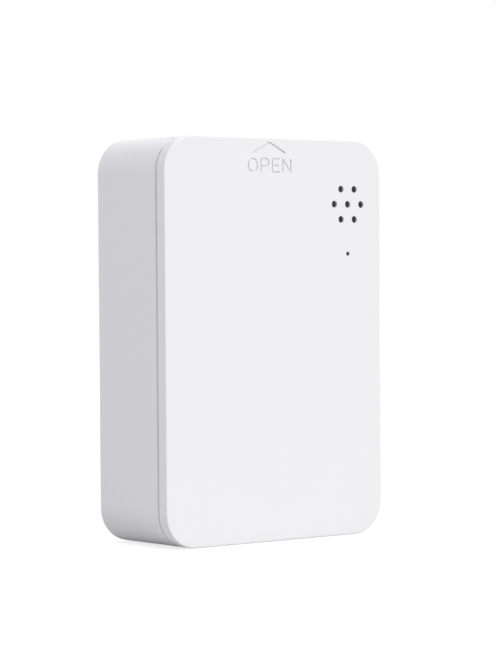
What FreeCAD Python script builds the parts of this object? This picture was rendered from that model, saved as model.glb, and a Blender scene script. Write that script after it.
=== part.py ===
"""Water leak sensor: a two-cell alarm box with a slide-off front cover.

The box stands upright. X runs across the front, to the right as the front is
faced; Y runs from the front face to the back; Z is up. The origin is the
middle of the space that the object stands on. Sizes are in millimetres.
"""
import FreeCAD, Part
import math
import os
import re

import Sketcher

Vector = FreeCAD.Vector
doc = FreeCAD.newDocument("WaterLeakSensor")

# Driving dimensions

SIZES = {
    # power cells
    "cell_diameter": 10.5,
    "cell_length": 44.5,
    "cell_edge": 0.6,
    "nub_diameter": 3.8,
    "nub_height": 1.0,
    "cell_gap": 0.5,
    "cell_clearance": 0.15,
    # depth, from the front face to the back
    "cover_wall": 1.4,
    "lip_depth": 2.45,
    "slide_gap": 0.1,
    "seat_gap": 0.1,
    "tray_floor": 1.0,
    "board_gap": 0.2,
    "board_thickness": 1.0,
    "standoff_height": 1.95,
    "back_wall": 1.6,
    # width and height
    "side_wall": 1.8,
    "chassis_gap": 0.3,
    "bay_inset": 2.9,
    "bay_wall": 1.2,
    "strip_width": 16.7,
    "screw_zone": 6.7,
    # outer form
    "corner_radius": 5.9,
    "front_edge_radius": 0.2,
    "back_edge_radius": 0.4,
    "rim_radius": 0.3,
    "parting_gap": 0.44,
    "lip_wall": 1.6,
    # slide rails of the cover, and what they run in
    "rail_reach": 1.95,
    "rail_web": 1.0,
    "rail_inset": 1.8,
    "rail_start": 8.0,
    "rail_gap": 0.1,
    "rail_end_block": 2.2,
    "tongue_width": 0.9,
    "tongue_thickness": 0.9,
    "notch_gap": 0.15,
    "ledge_overlap": 0.6,
    "ledge_length": 9.0,
    "ledge_pitch": 20.0,
    "upstand_thickness": 1.4,
    "deck_gap": 0.3,
    "deck_thickness": 1.0,
    # saddles that the cells lie in
    "saddle_clearance": 0.05,
    "saddle_height": 3.6,
    "saddle_thickness": 1.0,
    "saddle_pitch": 15.0,
    # sounder and its openings
    "grille_from_side": 7.35,
    "grille_from_top": 11.0,
    "grille_hole": 1.2,
    "grille_wall": 0.35,
    "grille_pitch": 3.0,
    "collar_wall": 0.9,
    "sounder_diameter": 9.0,
    "sounder_height": 5.5,
    "sounder_edge": 0.4,
    "sounder_port": 2.0,
    "sounder_port_depth": 1.2,
    "pin_diameter": 0.6,
    "pin_pitch": 5.0,
    "pin_tail": 0.8,
    "pin_clearance": 0.15,
    "sound_bore": 7.6,
    "sound_wall": 0.8,
    "sound_gap": 0.2,
    # status light, its pipe and its opening
    "pinhole": 0.78,
    "pinhole_recess": 2.6,
    "pinhole_drop": 8.5,
    "light_length": 2.0,
    "light_width": 1.25,
    "light_height": 0.8,
    "light_base": 0.4,
    "light_gap": 0.3,
    "pipe_diameter": 2.0,
    "pipe_flange": 3.2,
    "pipe_flange_thickness": 0.7,
    "pipe_nose": 0.35,
    "pipe_clearance": 0.05,
    "sleeve_wall": 0.9,
    "sleeve_setback": 0.4,
    # pairing button and its switch
    "switch_drop": 6.4,
    "switch_width": 6.0,
    "switch_height": 3.5,
    "switch_corner": 0.7,
    "switch_leg_pitch": 4.5,
    "plunger_diameter": 3.4,
    "plunger_reach": 0.8,
    "plunger_depth": 1.2,
    "plunger_clearance": 0.08,
    "press_travel": 0.25,
    "button_diameter": 3.6,
    "button_clearance": 0.15,
    "button_proud": 0.6,
    "button_edge": 0.4,
    "button_flange": 4.8,
    "button_flange_thickness": 0.7,
    "button_stem": 3.0,
    "button_play": 0.06,
    "button_ring_height": 0.3,
    "button_ring_wall": 0.9,
    # battery contacts
    "contact_thickness": 0.3,
    "contact_width": 8.0,
    "contact_tail": 1.6,
    "tail_clearance": 0.15,
    "bump_height": 0.35,
    "bump_diameter": 3.0,
    "touch_gap": 0.05,
    "spring_height": 3.1,
    "spring_wire": 0.5,
    "spring_base": 6.6,
    "spring_tip": 3.6,
    "guide_wall": 0.6,
    "guide_thickness": 0.6,
    "guide_gap": 0.1,
    "guide_clearance": 0.2,
    # water probes in the back
    "stud_proud": 0.6,
    "stud_head": 5.0,
    "stud_edge": 0.25,
    "stud_shank": 2.5,
    "stud_from_side": 6.9,
    "stud_from_end": 9.0,
    "stud_short": 0.3,
    "seal_depth": 0.7,
    "seal_width": 0.9,
    "seal_round": 0.2,
    "standoff_width": 4.4,
    "thread_clearance": 0.05,
    # chassis screws and their bosses
    "boss_diameter": 4.6,
    "boss_spacing": 20.0,
    "boss_clearance": 0.4,
    "screw_shank": 1.7,
    "screw_head": 3.8,
    "screw_head_flat": 1.9,
    "screw_head_height": 1.3,
    "screw_length": 7.0,
    "screw_clearance": 0.25,
    "pilot_clearance": 0.05,
    "pilot_spare": 0.6,
    # circuit board and its parts
    "board_clearance": 0.8,
    "rest_diameter": 3.0,
    "rest_spacing": 30.0,
    "module_width": 14.0,
    "module_length": 19.0,
    "module_thickness": 0.8,
    "module_lift": 1.0,
    "pad_hole": 0.8,
    "pad_pitch": 2.0,
    "can_width": 11.6,
    "can_length": 13.0,
    "can_height": 2.2,
    "can_edge": 0.35,
    "can_wall": 0.2,
    "can_margin": 0.8,
    "chip_width": 3.9,
    "chip_length": 4.9,
    "chip_height": 1.5,
    "chip_lift": 0.15,
    "chip_drop": 11.8,
    "lead_reach": 1.05,
    "lead_width": 0.42,
    "lead_pitch": 1.27,
    "lead_thickness": 0.22,
    "part_margin": 0.6,
    "reservoir_diameter": 5.0,
    "reservoir_height": 5.2,
    "reservoir_base": 5.3,
    "reservoir_foot": 0.8,
    "reservoir_drop": 1.8,
    "small_part_length": 1.6,
    "small_part_width": 0.8,
    "small_part_height": 0.55,
    "small_part_pitch": 1.4,
    "small_part_row": 2.1,
    "small_part_gap": 0.5,
}

sheet = doc.addObject("Spreadsheet::Sheet", "Sizes")
for row, (alias, value) in enumerate(SIZES.items(), start=1):
    sheet.set(f"A{row}", alias)
    sheet.set(f"B{row}", str(value))
    sheet.setAlias(f"B{row}", alias)
doc.recompute()

# Places that follow from the driving dimensions

PLACES = {
    # depth, front to back
    "body_depth": "lip_depth + slide_gap + cell_diameter + seat_gap + tray_floor + board_gap"
                  " + board_thickness + standoff_height + back_wall",
    "front_y": "-(body_depth + stud_proud) / 2",
    "cover_inner_y": "front_y + cover_wall",
    "grille_inner_y": "front_y + grille_wall",
    "parting_y": "front_y + lip_depth",
    "lip_end_y": "parting_y - parting_gap",
    "slide_y": "parting_y + slide_gap",
    "cell_y": "slide_y + cell_diameter / 2",
    "tray_y": "cell_y + cell_diameter / 2 + seat_gap",
    "tray_back_y": "tray_y + tray_floor",
    "board_y": "tray_back_y + board_gap",
    "board_back_y": "board_y + board_thickness",
    "floor_y": "board_back_y + standoff_height",
    "back_y": "floor_y + back_wall",
    "rail_y": "parting_y + rail_reach",
    "tongue_y": "rail_y - tongue_thickness",
    "ledge_y": "tongue_y - rail_gap",
    "deck_y": "rail_y + deck_gap",
    "deck_back_y": "deck_y + deck_thickness",
    # width, left to right
    "bay_width": "2 * cell_diameter + cell_gap + 2 * cell_clearance",
    "half_width": "side_wall + chassis_gap + (bay_inset + bay_width + bay_wall + strip_width) / 2",
    "chassis_x": "half_width - side_wall - chassis_gap",
    "bay_left_x": "bay_inset - chassis_x",
    "bay_right_x": "bay_left_x + bay_width",
    "cell_left_x": "bay_left_x + cell_clearance + cell_diameter / 2",
    "cell_right_x": "cell_left_x + cell_diameter + cell_gap",
    "strip_left_x": "bay_right_x + bay_wall",
    "strip_x": "(strip_left_x + chassis_x) / 2",
    "tongue_x": "chassis_x - rail_inset",
    "web_outer_x": "tongue_x - tongue_width",
    "web_inner_x": "web_outer_x - rail_web",
    "ledge_x": "tongue_x - ledge_overlap",
    "upstand_x": "chassis_x - upstand_thickness",
    "grille_x": "half_width - grille_from_side",
    "boss_x": "boss_spacing / 2",
    "stud_x": "half_width - stud_from_side",
    "sleeve_slot_x": "grille_x + pipe_diameter / 4",
    "guide_inner_reach": "spring_base / 2 + guide_clearance",
    "guide_outer_reach": "contact_width / 2 + guide_gap + guide_wall",
    "module_left_x": "strip_x - module_width / 2",
    "chip_x": "strip_left_x + part_margin + lead_reach + chip_width / 2",
    "reservoir_x": "strip_left_x + part_margin / 2 + reservoir_base / 2",
    # height, bottom to top
    "bay_length": "2 * contact_thickness + spring_height + cell_length + bump_height + touch_gap",
    "bay_bottom_z": "side_wall + screw_zone + bay_wall",
    "bay_top_z": "bay_bottom_z + bay_length",
    "case_height": "bay_top_z + bay_bottom_z",
    "middle_z": "case_height / 2",
    "grille_z": "case_height - grille_from_top",
    "light_z": "grille_z - pinhole_drop",
    "chip_z": "grille_z - chip_drop",
    "switch_z": "chip_z - switch_drop",
    "reservoir_z": "grille_z - reservoir_drop",
    "boss_z": "side_wall + screw_zone / 2",
    "module_z": "bay_bottom_z + module_lift",
    "module_top_z": "module_z + module_length",
}


def named(formula):
    """Spell a formula out with the sheet or the layout that holds each name."""

    def with_owner(match):
        word = match.group(0)
        if word in SIZES:
            return f"Sizes.{word}"
        if word in PLACES:
            return f"Layout.{word}"
        return word

    return re.sub(r"[a-z][a-z_]*", with_owner, formula)


def measure(formula):
    """Work a formula out, as a number."""
    return float(sheet.evalExpression(named(formula)))


layout = doc.addObject("App::VarSet", "Layout")
for place, formula in PLACES.items():
    layout.addProperty("App::PropertyFloat", place, "Layout", place.replace("_", " "))
for place, formula in PLACES.items():
    layout.setExpression(place, named(formula))
doc.recompute()


# Sketches

def origin_feature(body, role):
    """Return the body's own origin plane or axis that has this role."""
    return next(part for part in body.Origin.OriginFeatures if part.Role == role)


def new_body(label):
    """Start one sub-part."""
    body = doc.addObject("PartDesign::Body", label)
    body.Label = label
    body.Placement = FreeCAD.Placement()
    return body


def new_sketch(body, role, offset):
    """Start a sketch on one of the body's planes, shifted along that plane's normal."""
    sketch = body.newObject("Sketcher::SketchObject", f"{body.Label}_sketch")
    sketch.AttachmentSupport = (origin_feature(body, role), [""])
    sketch.MapMode = "FlatFace"
    sketch.setExpression("AttachmentOffset.Base.z", named(offset))
    return sketch


def constrain(sketch, kind, elements, formula):
    """Add one dimension to a sketch and bind it to a formula."""
    number = sketch.addConstraint(Sketcher.Constraint(kind, *elements, measure(formula)))
    sketch.setExpression(f"Constraints[{number}]", named(formula))


def pin_point(sketch, element, point, across, up):
    """Hold one point of a sketch at the place that two formulas give."""
    constrain(sketch, "DistanceX", (-1, 1, element, point), across)
    constrain(sketch, "DistanceY", (-1, 1, element, point), up)


def draw_circle(sketch, across, up, diameter):
    """Draw a circle by its centre and diameter."""
    centre = Vector(measure(across), measure(up), 0)
    circle = sketch.addGeometry(Part.Circle(centre, Vector(0, 0, 1), measure(diameter) / 2))
    pin_point(sketch, circle, 3, across, up)
    constrain(sketch, "Diameter", (circle,), diameter)


def draw_outline(sketch, corners):
    """Draw a closed outline of straight sides; each corner is a pair of formulas."""
    points = [Vector(measure(across), measure(up), 0) for across, up in corners]
    first = sketch.GeometryCount
    for start, end in zip(points, points[1:] + points[:1]):
        sketch.addGeometry(Part.LineSegment(start, end))
    last = first + len(points) - 1
    for side, (across, up) in enumerate(corners, start=first):
        following = side + 1 if side < last else first
        sketch.addConstraint(Sketcher.Constraint("Coincident", side, 2, following, 1))
        pin_point(sketch, side, 1, across, up)


def draw_rectangle(sketch, left, right, low, high):
    """Draw a rectangle with square corners."""
    draw_outline(sketch, [(left, low), (right, low), (right, high), (left, high)])


def draw_rounded_rectangle(sketch, left, right, low, high, radius):
    """Draw a rectangle with four equal round corners."""
    corner = measure(radius)
    x_places = (measure(left) + corner, measure(right) - corner)
    y_places = (measure(low) + corner, measure(high) - corner)
    quarters = [
        (x_places[1], y_places[1], 0),
        (x_places[0], y_places[1], 90),
        (x_places[0], y_places[0], 180),
        (x_places[1], y_places[0], 270),
    ]
    arcs = []
    for x_place, y_place, start in quarters:
        circle = Part.Circle(Vector(x_place, y_place, 0), Vector(0, 0, 1), corner)
        arc = Part.ArcOfCircle(circle, math.radians(start), math.radians(start + 90))
        arcs.append(sketch.addGeometry(arc))
    sides = []
    for arc, following in zip(arcs, arcs[1:] + arcs[:1]):
        start = sketch.Geometry[arc].EndPoint
        end = sketch.Geometry[following].StartPoint
        side = sketch.addGeometry(Part.LineSegment(start, end))
        sketch.addConstraint(Sketcher.Constraint("Tangent", arc, 2, side, 1))
        sketch.addConstraint(Sketcher.Constraint("Tangent", side, 2, following, 1))
        sides.append(side)
    for arc in arcs[1:]:
        sketch.addConstraint(Sketcher.Constraint("Equal", arcs[0], arc))
    constrain(sketch, "Radius", (arcs[0],), radius)
    top, left_side, bottom, right_side = sides
    for side, kind, direction, place in (
        (top, "Horizontal", "DistanceY", high),
        (left_side, "Vertical", "DistanceX", left),
        (bottom, "Horizontal", "DistanceY", low),
        (right_side, "Vertical", "DistanceX", right),
    ):
        sketch.addConstraint(Sketcher.Constraint(kind, side))
        constrain(sketch, direction, (-1, 1, side, 1), place)


def draw_lug(sketch, across, up, width, foot):
    """Draw an upright strip from its foot to a half-round end about (across, up)."""
    middle = Vector(measure(across), measure(up), 0)
    radius = measure(width) / 2
    foot_up = measure(foot)
    upward = 1 if middle.y > foot_up else -1
    right = middle + Vector(radius * upward, 0, 0)
    left = middle - Vector(radius * upward, 0, 0)
    circle = Part.Circle(middle, Vector(0, 0, 1), radius)
    start = 0 if upward > 0 else math.pi
    arc = sketch.addGeometry(Part.ArcOfCircle(circle, start, start + math.pi))
    far = sketch.addGeometry(Part.LineSegment(left, Vector(left.x, foot_up, 0)))
    base = sketch.addGeometry(
        Part.LineSegment(Vector(left.x, foot_up, 0), Vector(right.x, foot_up, 0))
    )
    near = sketch.addGeometry(Part.LineSegment(Vector(right.x, foot_up, 0), right))
    sketch.addConstraint(Sketcher.Constraint("Tangent", arc, 2, far, 1))
    sketch.addConstraint(Sketcher.Constraint("Coincident", far, 2, base, 1))
    sketch.addConstraint(Sketcher.Constraint("Coincident", base, 2, near, 1))
    sketch.addConstraint(Sketcher.Constraint("Tangent", near, 2, arc, 1))
    sketch.addConstraint(Sketcher.Constraint("Horizontal", base))
    pin_point(sketch, arc, 3, across, up)
    constrain(sketch, "Diameter", (arc,), width)
    constrain(sketch, "DistanceY", (-1, 1, base, 1), foot)


def draw_hexagon(sketch, across, up, width):
    """Draw a hexagon by its centre and its width across the flats."""
    draw_outline(sketch, [
        (f"{across} + {width} / sqrt(3) * cos({angle} deg)",
         f"{up} + {width} / sqrt(3) * sin({angle} deg)")
        for angle in range(0, 360, 60)
    ])


# Features

def pad(body, sketch, length):
    """Grow a sketch along its normal, which is towards the front on the upright plane."""
    feature = body.newObject("PartDesign::Pad", f"{body.Label}_pad")
    feature.Profile = sketch
    feature.setExpression("Length", named(length))
    doc.recompute()
    return feature


def pocket(body, sketch, length, along_normal=False):
    """Sink a sketch into the solid, against its normal or along it."""
    before = body.Shape.Volume
    feature = body.newObject("PartDesign::Pocket", f"{body.Label}_pocket")
    feature.Profile = sketch
    feature.Reversed = along_normal
    feature.setExpression("Length", named(length))
    doc.recompute()
    if body.Shape.Volume > before - 0.001:
        raise RuntimeError(f"a pocket of {body.Label} cuts nothing")
    return feature


def build_up(body, back, front, draw, *outlines):
    """Pad outlines on the upright plane from one depth forward to another."""
    sketch = new_sketch(body, "XZ_Plane", f"-({back})")
    for outline in outlines:
        draw(sketch, *outline)
    return pad(body, sketch, f"({back}) - ({front})")


def cut_away(body, front, back, draw, *outlines):
    """Cut outlines on the upright plane away from one depth back to another."""
    sketch = new_sketch(body, "XZ_Plane", f"-({front})")
    for outline in outlines:
        draw(sketch, *outline)
    return pocket(body, sketch, f"({back}) - ({front})")


def turn(body, role, offset, axis, corners):
    """Revolve an outline about an axis that stands upright in its sketch plane.

    Each corner is a pair of formulas: the distance from the axis, and the
    place along it.
    """
    sketch = new_sketch(body, role, offset)
    draw_outline(sketch, [(f"{axis} + {radius}", along) for radius, along in corners])
    line = sketch.addGeometry(
        Part.LineSegment(Vector(measure(axis), -1, 0), Vector(measure(axis), 1, 0)), True
    )
    pin_point(sketch, line, 1, axis, "-1")
    pin_point(sketch, line, 2, axis, "1")
    feature = body.newObject("PartDesign::Revolution", f"{body.Label}_turned")
    feature.Profile = sketch
    feature.ReferenceAxis = (sketch, ["Axis0"])
    feature.Angle = 360
    doc.recompute()
    return feature


def turn_facing(body, across, up, corners):
    """Revolve an outline about an axis that runs from front to back."""
    return turn(body, "XY_Plane", up, across, corners)


def repeat(body, feature, spacing_x, spacing_z):
    """Repeat a feature at the four corners of an upright rectangle."""
    pattern = body.newObject("PartDesign::LinearPattern", f"{body.Label}_pattern")
    pattern.Originals = [feature]
    pattern.Direction = (origin_feature(body, "X_Axis"), [""])
    pattern.setExpression("Length", named(spacing_x))
    pattern.Occurrences = 2
    pattern.Direction2 = (origin_feature(body, "Z_Axis"), [""])
    pattern.setExpression("Length2", named(spacing_z))
    pattern.Occurrences2 = 2
    doc.recompute()
    body.Tip = pattern
    doc.recompute()


def mirror(body, features):
    """Repeat features on the other side of the middle plane."""
    reflected = body.newObject("PartDesign::Mirrored", f"{body.Label}_mirrored")
    reflected.Originals = features
    reflected.MirrorPlane = (origin_feature(body, "YZ_Plane"), [""])
    doc.recompute()
    body.Tip = reflected
    doc.recompute()


def dress(body, kind, edges, size_name):
    """Fillet or chamfer the named edges of the body's last feature."""
    base = body.Tip
    feature = body.newObject(f"PartDesign::{kind}", f"{body.Label}_{kind.lower()}")
    feature.Base = (base, edges)
    feature.setExpression("Radius" if kind == "Fillet" else "Size", named(size_name))
    doc.recompute()


def edges_at_depth(body, depth):
    """Name the edges of the body that lie wholly at one depth."""
    y_place = measure(depth)
    names = []
    for number, edge in enumerate(body.Shape.Edges, start=1):
        box = edge.BoundBox
        if abs(box.YMin - y_place) < 0.001 and abs(box.YMax - y_place) < 0.001:
            names.append(f"Edge{number}")
    return names


def edges_along_depth(body):
    """Name the straight edges of the body that run from front to back."""
    names = []
    for number, edge in enumerate(body.Shape.Edges, start=1):
        box = edge.BoundBox
        if box.YLength > 0.1 and box.XLength < 0.001 and box.ZLength < 0.001:
            names.append(f"Edge{number}")
    return names


# Outlines and places that several sub-parts share

SIDES = (-1, 1)


def case_outline(inset):
    """Return the outline of the case, drawn in by a wall or a gap."""
    return (
        f"-half_width + {inset}",
        f"half_width - ({inset})",
        inset,
        f"case_height - ({inset})",
        f"corner_radius - ({inset})",
    )


def boss_places():
    """Return the middle of each screw boss, and the end wall that it grows from."""
    for side in SIDES:
        yield f"{side} * boss_x", "boss_z", "side_wall / 2"
        yield f"{side} * boss_x", "case_height - boss_z", "case_height - side_wall / 2"


def stud_places():
    """Return the middle of each water probe."""
    for side in SIDES:
        yield f"{side} * stud_x", "stud_from_end"
        yield f"{side} * stud_x", "case_height - stud_from_end"


def grille_places():
    """Return the middle of each sounder hole: one, and six in a ring about it."""
    yield "grille_x", "grille_z"
    for angle in range(0, 360, 60):
        yield (f"grille_x + grille_pitch * cos({angle} deg)",
               f"grille_z + grille_pitch * sin({angle} deg)")


def ledge_places():
    """Return the middle height of each rail ledge."""
    return [f"middle_z + {step} * ledge_pitch" for step in (-1, 0, 1)]


def tail_slots():
    """Return the slots that the battery contacts' tails pass through."""
    for cell in ("cell_left_x", "cell_right_x"):
        yield (
            f"{cell} - contact_tail / 2 - tail_clearance",
            f"{cell} + contact_tail / 2 + tail_clearance",
            "bay_top_z - contact_thickness - tail_clearance",
            "bay_top_z + tail_clearance",
        )


def guide_places():
    """Return where a guide laps over a contact plate: cell, side, end wall and way inwards."""
    for side in SIDES:
        yield "cell_left_x", side, "bay_top_z", -1
        yield "cell_right_x", side, "bay_top_z", -1
    yield "cell_left_x", -1, "bay_bottom_z", 1
    yield "cell_right_x", 1, "bay_bottom_z", 1


# Case

def make_rear_housing():
    """Deep moulded shell with screw bosses, board rests, probe seats and rail notches."""
    body = new_body("rear_housing")
    build_up(body, "back_y", "parting_y", draw_rounded_rectangle, case_outline("0"))
    dress(body, "Fillet", edges_at_depth(body, "back_y"), "back_edge_radius")
    dress(body, "Fillet", edges_at_depth(body, "parting_y"), "rim_radius")
    cut_away(body, "parting_y", "floor_y", draw_rounded_rectangle, case_outline("side_wall"))
    build_up(body, "floor_y", "deck_back_y", draw_lug, *[
        (across, up, "boss_diameter", foot) for across, up, foot in boss_places()
    ])
    build_up(body, "floor_y", "board_back_y", draw_circle, *[
        ("0", f"middle_z + {side} * rest_spacing / 2", "rest_diameter") for side in SIDES
    ])
    cut_away(
        body, "deck_back_y", "deck_back_y + screw_length - deck_thickness + pilot_spare",
        draw_circle, *[
            (across, up, "screw_shank + 2 * pilot_clearance") for across, up, foot in boss_places()
        ],
    )
    cut_away(body, "floor_y", "back_y", draw_circle, *[
        (across, up, "stud_shank + 2 * thread_clearance") for across, up in stud_places()
    ])
    cut_away(body, "back_y - seal_depth", "back_y", draw_circle, *[
        (across, up, "stud_shank + 2 * seal_width + 4 * thread_clearance")
        for across, up in stud_places()
    ])
    cut_away(body, "parting_y", "rail_y + notch_gap", draw_rectangle, *[
        (
            f"min({side} * web_inner_x; {side} * tongue_x) - notch_gap",
            f"max({side} * web_inner_x; {side} * tongue_x) + notch_gap",
            "case_height - corner_radius",
            "case_height + notch_gap",
        )
        for side in SIDES
    ])
    return body


def make_front_cover():
    """Shallow moulded tray with the sounder grille, the pin-hole and two slide rails."""
    body = new_body("front_cover")
    build_up(body, "lip_end_y", "front_y", draw_rounded_rectangle, case_outline("0"))
    dress(body, "Fillet", edges_at_depth(body, "front_y"), "front_edge_radius")
    sketch = new_sketch(body, "XZ_Plane", "-lip_end_y")
    draw_rounded_rectangle(sketch, *case_outline("lip_wall"))
    pocket(body, sketch, "lip_end_y - cover_inner_y", along_normal=True)
    build_up(body, "lip_end_y", "cover_inner_y", draw_circle,
             ("grille_x", "grille_z", "sound_bore + 2 * collar_wall"))
    sketch = new_sketch(body, "XZ_Plane", "-lip_end_y")
    draw_circle(sketch, "grille_x", "grille_z", "sound_bore")
    pocket(body, sketch, "lip_end_y - grille_inner_y", along_normal=True)
    rails = new_sketch(body, "XY_Plane", "rail_start")
    ends = new_sketch(body, "XY_Plane", "case_height - side_wall - rail_end_block")
    for side in SIDES:
        draw_outline(rails, [
            (f"{side} * web_inner_x", "cover_inner_y"),
            (f"{side} * web_outer_x", "cover_inner_y"),
            (f"{side} * web_outer_x", "tongue_y"),
            (f"{side} * tongue_x", "tongue_y"),
            (f"{side} * tongue_x", "rail_y"),
            (f"{side} * web_inner_x", "rail_y"),
        ])
        draw_outline(ends, [
            (f"{side} * web_inner_x", "cover_inner_y"),
            (f"{side} * tongue_x", "cover_inner_y"),
            (f"{side} * tongue_x", "rail_y"),
            (f"{side} * web_inner_x", "rail_y"),
        ])
    pad(body, rails, "case_height - side_wall - rail_start")
    pad(body, ends, "side_wall + rail_end_block")
    trim = new_sketch(body, "XZ_Plane", "-cover_inner_y")
    draw_rounded_rectangle(trim, *case_outline("0"))
    draw_rectangle(trim, "-2 * half_width", "2 * half_width", "-case_height", "2 * case_height")
    pocket(body, trim, "rail_y - cover_inner_y")
    cut_away(body, "front_y", "grille_inner_y", draw_circle, *[
        (across, up, "grille_hole") for across, up in grille_places()
    ])
    cut_away(body, "front_y", "grille_inner_y", draw_circle, ("grille_x", "light_z", "pinhole"))
    cut_away(body, "grille_inner_y", "cover_inner_y", draw_circle,
             ("grille_x", "light_z", "pinhole_recess"))
    return body


def make_battery_chassis():
    """Moulded tray: deck, cell bay with saddles and contact guides, rail ledges, sound tube."""
    body = new_body("battery_chassis")
    build_up(body, "deck_back_y", "deck_y", draw_rounded_rectangle,
             case_outline("side_wall + chassis_gap"))
    build_up(body, "tray_back_y", "deck_y", draw_rounded_rectangle, (
        "bay_left_x - bay_wall",
        "strip_left_x",
        "bay_bottom_z - bay_wall",
        "bay_top_z + bay_wall",
        "bay_wall",
    ))
    build_up(body, "board_y - sounder_height - sound_gap", "deck_y", draw_circle,
             ("grille_x", "grille_z", "sound_bore + 2 * sound_wall"))
    build_up(body, "deck_back_y", "slide_y + sleeve_setback", draw_circle,
             ("grille_x", "light_z", "pipe_diameter + 2 * sleeve_wall"))
    cut_away(body, "slide_y", "deck_y", draw_rectangle, (
        "sleeve_slot_x",
        "web_outer_x + rail_gap",
        "light_z - pipe_diameter",
        "light_z + pipe_diameter",
    ))
    cut_away(body, "deck_y", "tray_y", draw_rectangle,
             ("bay_left_x", "bay_right_x", "bay_bottom_z", "bay_top_z"))
    build_up(body, "tray_y", "tray_y - saddle_height", draw_rectangle, *[
        (
            "bay_left_x",
            "bay_right_x",
            f"middle_z + {step} * saddle_pitch - saddle_thickness / 2",
            f"middle_z + {step} * saddle_pitch + saddle_thickness / 2",
        )
        for step in (-1, 0, 1)
    ])
    saddles = new_sketch(body, "XY_Plane", "bay_top_z")
    for cell in ("cell_left_x", "cell_right_x"):
        draw_circle(saddles, cell, "cell_y", "cell_diameter + 2 * saddle_clearance")
    pocket(body, saddles, "bay_length")
    build_up(body, "tray_y", "deck_y", draw_rectangle, *[
        (
            f"{cell} + {side} * guide_inner_reach",
            f"{cell} + {side} * guide_outer_reach",
            wall,
            f"{wall} + {inward} * (contact_thickness + guide_gap + guide_thickness)",
        )
        for cell, side, wall, inward in guide_places()
    ])
    cut_away(body, "deck_y", "tray_y", draw_rectangle, *[
        (
            f"{cell} + {side} * (guide_inner_reach - guide_gap)",
            f"{cell} + {side} * (guide_outer_reach - guide_wall)",
            wall,
            f"{wall} + {inward} * (contact_thickness + guide_gap)",
        )
        for cell, side, wall, inward in guide_places()
    ])
    upstand = build_up(body, "deck_y", "slide_y", draw_rectangle,
                       ("upstand_x", "chassis_x", "rail_start", "case_height - rail_start"))
    ledges = build_up(body, "ledge_y", "slide_y", draw_rectangle, *[
        ("ledge_x", "upstand_x", f"{height} - ledge_length / 2", f"{height} + ledge_length / 2")
        for height in ledge_places()
    ])
    windows = cut_away(body, "deck_y", "deck_back_y", draw_rectangle, *[
        ("ledge_x", "upstand_x", f"{height} - ledge_length / 2", f"{height} + ledge_length / 2")
        for height in ledge_places()
    ])
    mirror(body, [upstand, ledges, windows])
    cut_away(body, "deck_y", "deck_back_y", draw_circle, *[
        (across, up, "screw_shank + 2 * screw_clearance") for across, up, foot in boss_places()
    ])
    cut_away(body, "deck_y", "board_y - sounder_height", draw_circle,
             ("grille_x", "grille_z", "sound_bore"))
    cut_away(body, "slide_y", "deck_back_y", draw_circle,
             ("grille_x", "light_z", "pipe_diameter + 2 * pipe_clearance"))
    button_bore = "button_diameter + 2 * button_clearance"
    build_up(body, "deck_y", "deck_y - button_ring_height", draw_circle,
             ("strip_x", "switch_z", f"{button_bore} + 2 * button_ring_wall"))
    cut_away(body, "deck_y - button_ring_height", "deck_back_y", draw_circle,
             ("strip_x", "switch_z", button_bore))
    cut_away(body, "tray_y", "tray_back_y", draw_rectangle, *tail_slots())
    return body


# Power cells and their contacts

def make_cell(label, across, up, foot):
    """One power cell: a can with rounded ends and a nub; up is 1 where the nub is on top."""
    body = new_body(label)
    shoulder = f"{foot} + {up} * (cell_length - nub_height)"
    tip = f"{foot} + {up} * cell_length"
    turn(body, "XZ_Plane", "-cell_y", across, [
        ("0", foot),
        ("cell_diameter / 2 - cell_edge", foot),
        ("cell_diameter / 2", f"{foot} + {up} * cell_edge"),
        ("cell_diameter / 2", f"{shoulder} - {up} * cell_edge"),
        ("cell_diameter / 2 - cell_edge", shoulder),
        ("nub_diameter / 2", shoulder),
        ("nub_diameter / 2", tip),
        ("0", tip),
    ])
    return body


def draw_contact(sketch, across):
    """Draw an end plate with a tail that reaches through the board."""
    draw_outline(sketch, [
        (f"{across} - contact_width / 2", "cell_y - contact_width / 2"),
        (f"{across} + contact_width / 2", "cell_y - contact_width / 2"),
        (f"{across} + contact_width / 2", "tray_y"),
        (f"{across} + contact_tail / 2", "tray_y"),
        (f"{across} + contact_tail / 2", "board_back_y"),
        (f"{across} - contact_tail / 2", "board_back_y"),
        (f"{across} - contact_tail / 2", "tray_y"),
        (f"{across} - contact_width / 2", "tray_y"),
    ])


def add_bump(body, across, up, plate):
    """Raise the round bump that meets a cell's nub; up is 1 where it points upwards."""
    turn(body, "XZ_Plane", "-cell_y", across, [
        ("0", plate),
        ("bump_diameter / 2", plate),
        ("bump_diameter / 2 - bump_height", f"{plate} + {up} * bump_height"),
        ("0", f"{plate} + {up} * bump_height"),
    ])


def make_end_contact(label, across, with_bump):
    """One contact plate at the top end of the cell bay."""
    body = new_body(label)
    sketch = new_sketch(body, "XY_Plane", "bay_top_z - contact_thickness")
    draw_contact(sketch, across)
    pad(body, sketch, "contact_thickness")
    if with_bump:
        add_bump(body, across, -1, "bay_top_z - contact_thickness")
    return body


def make_bridge_contact():
    """The plate at the bottom end of the bay, which joins the two cells in series."""
    body = new_body("bridge_contact")
    sketch = new_sketch(body, "XY_Plane", "bay_bottom_z")
    draw_rectangle(
        sketch,
        "cell_left_x - contact_width / 2",
        "cell_right_x + contact_width / 2",
        "cell_y - contact_width / 2",
        "tray_y",
    )
    pad(body, sketch, "contact_thickness")
    add_bump(body, "cell_right_x", 1, "bay_bottom_z + contact_thickness")
    return body


SPRING_TURNS = 3


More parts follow.
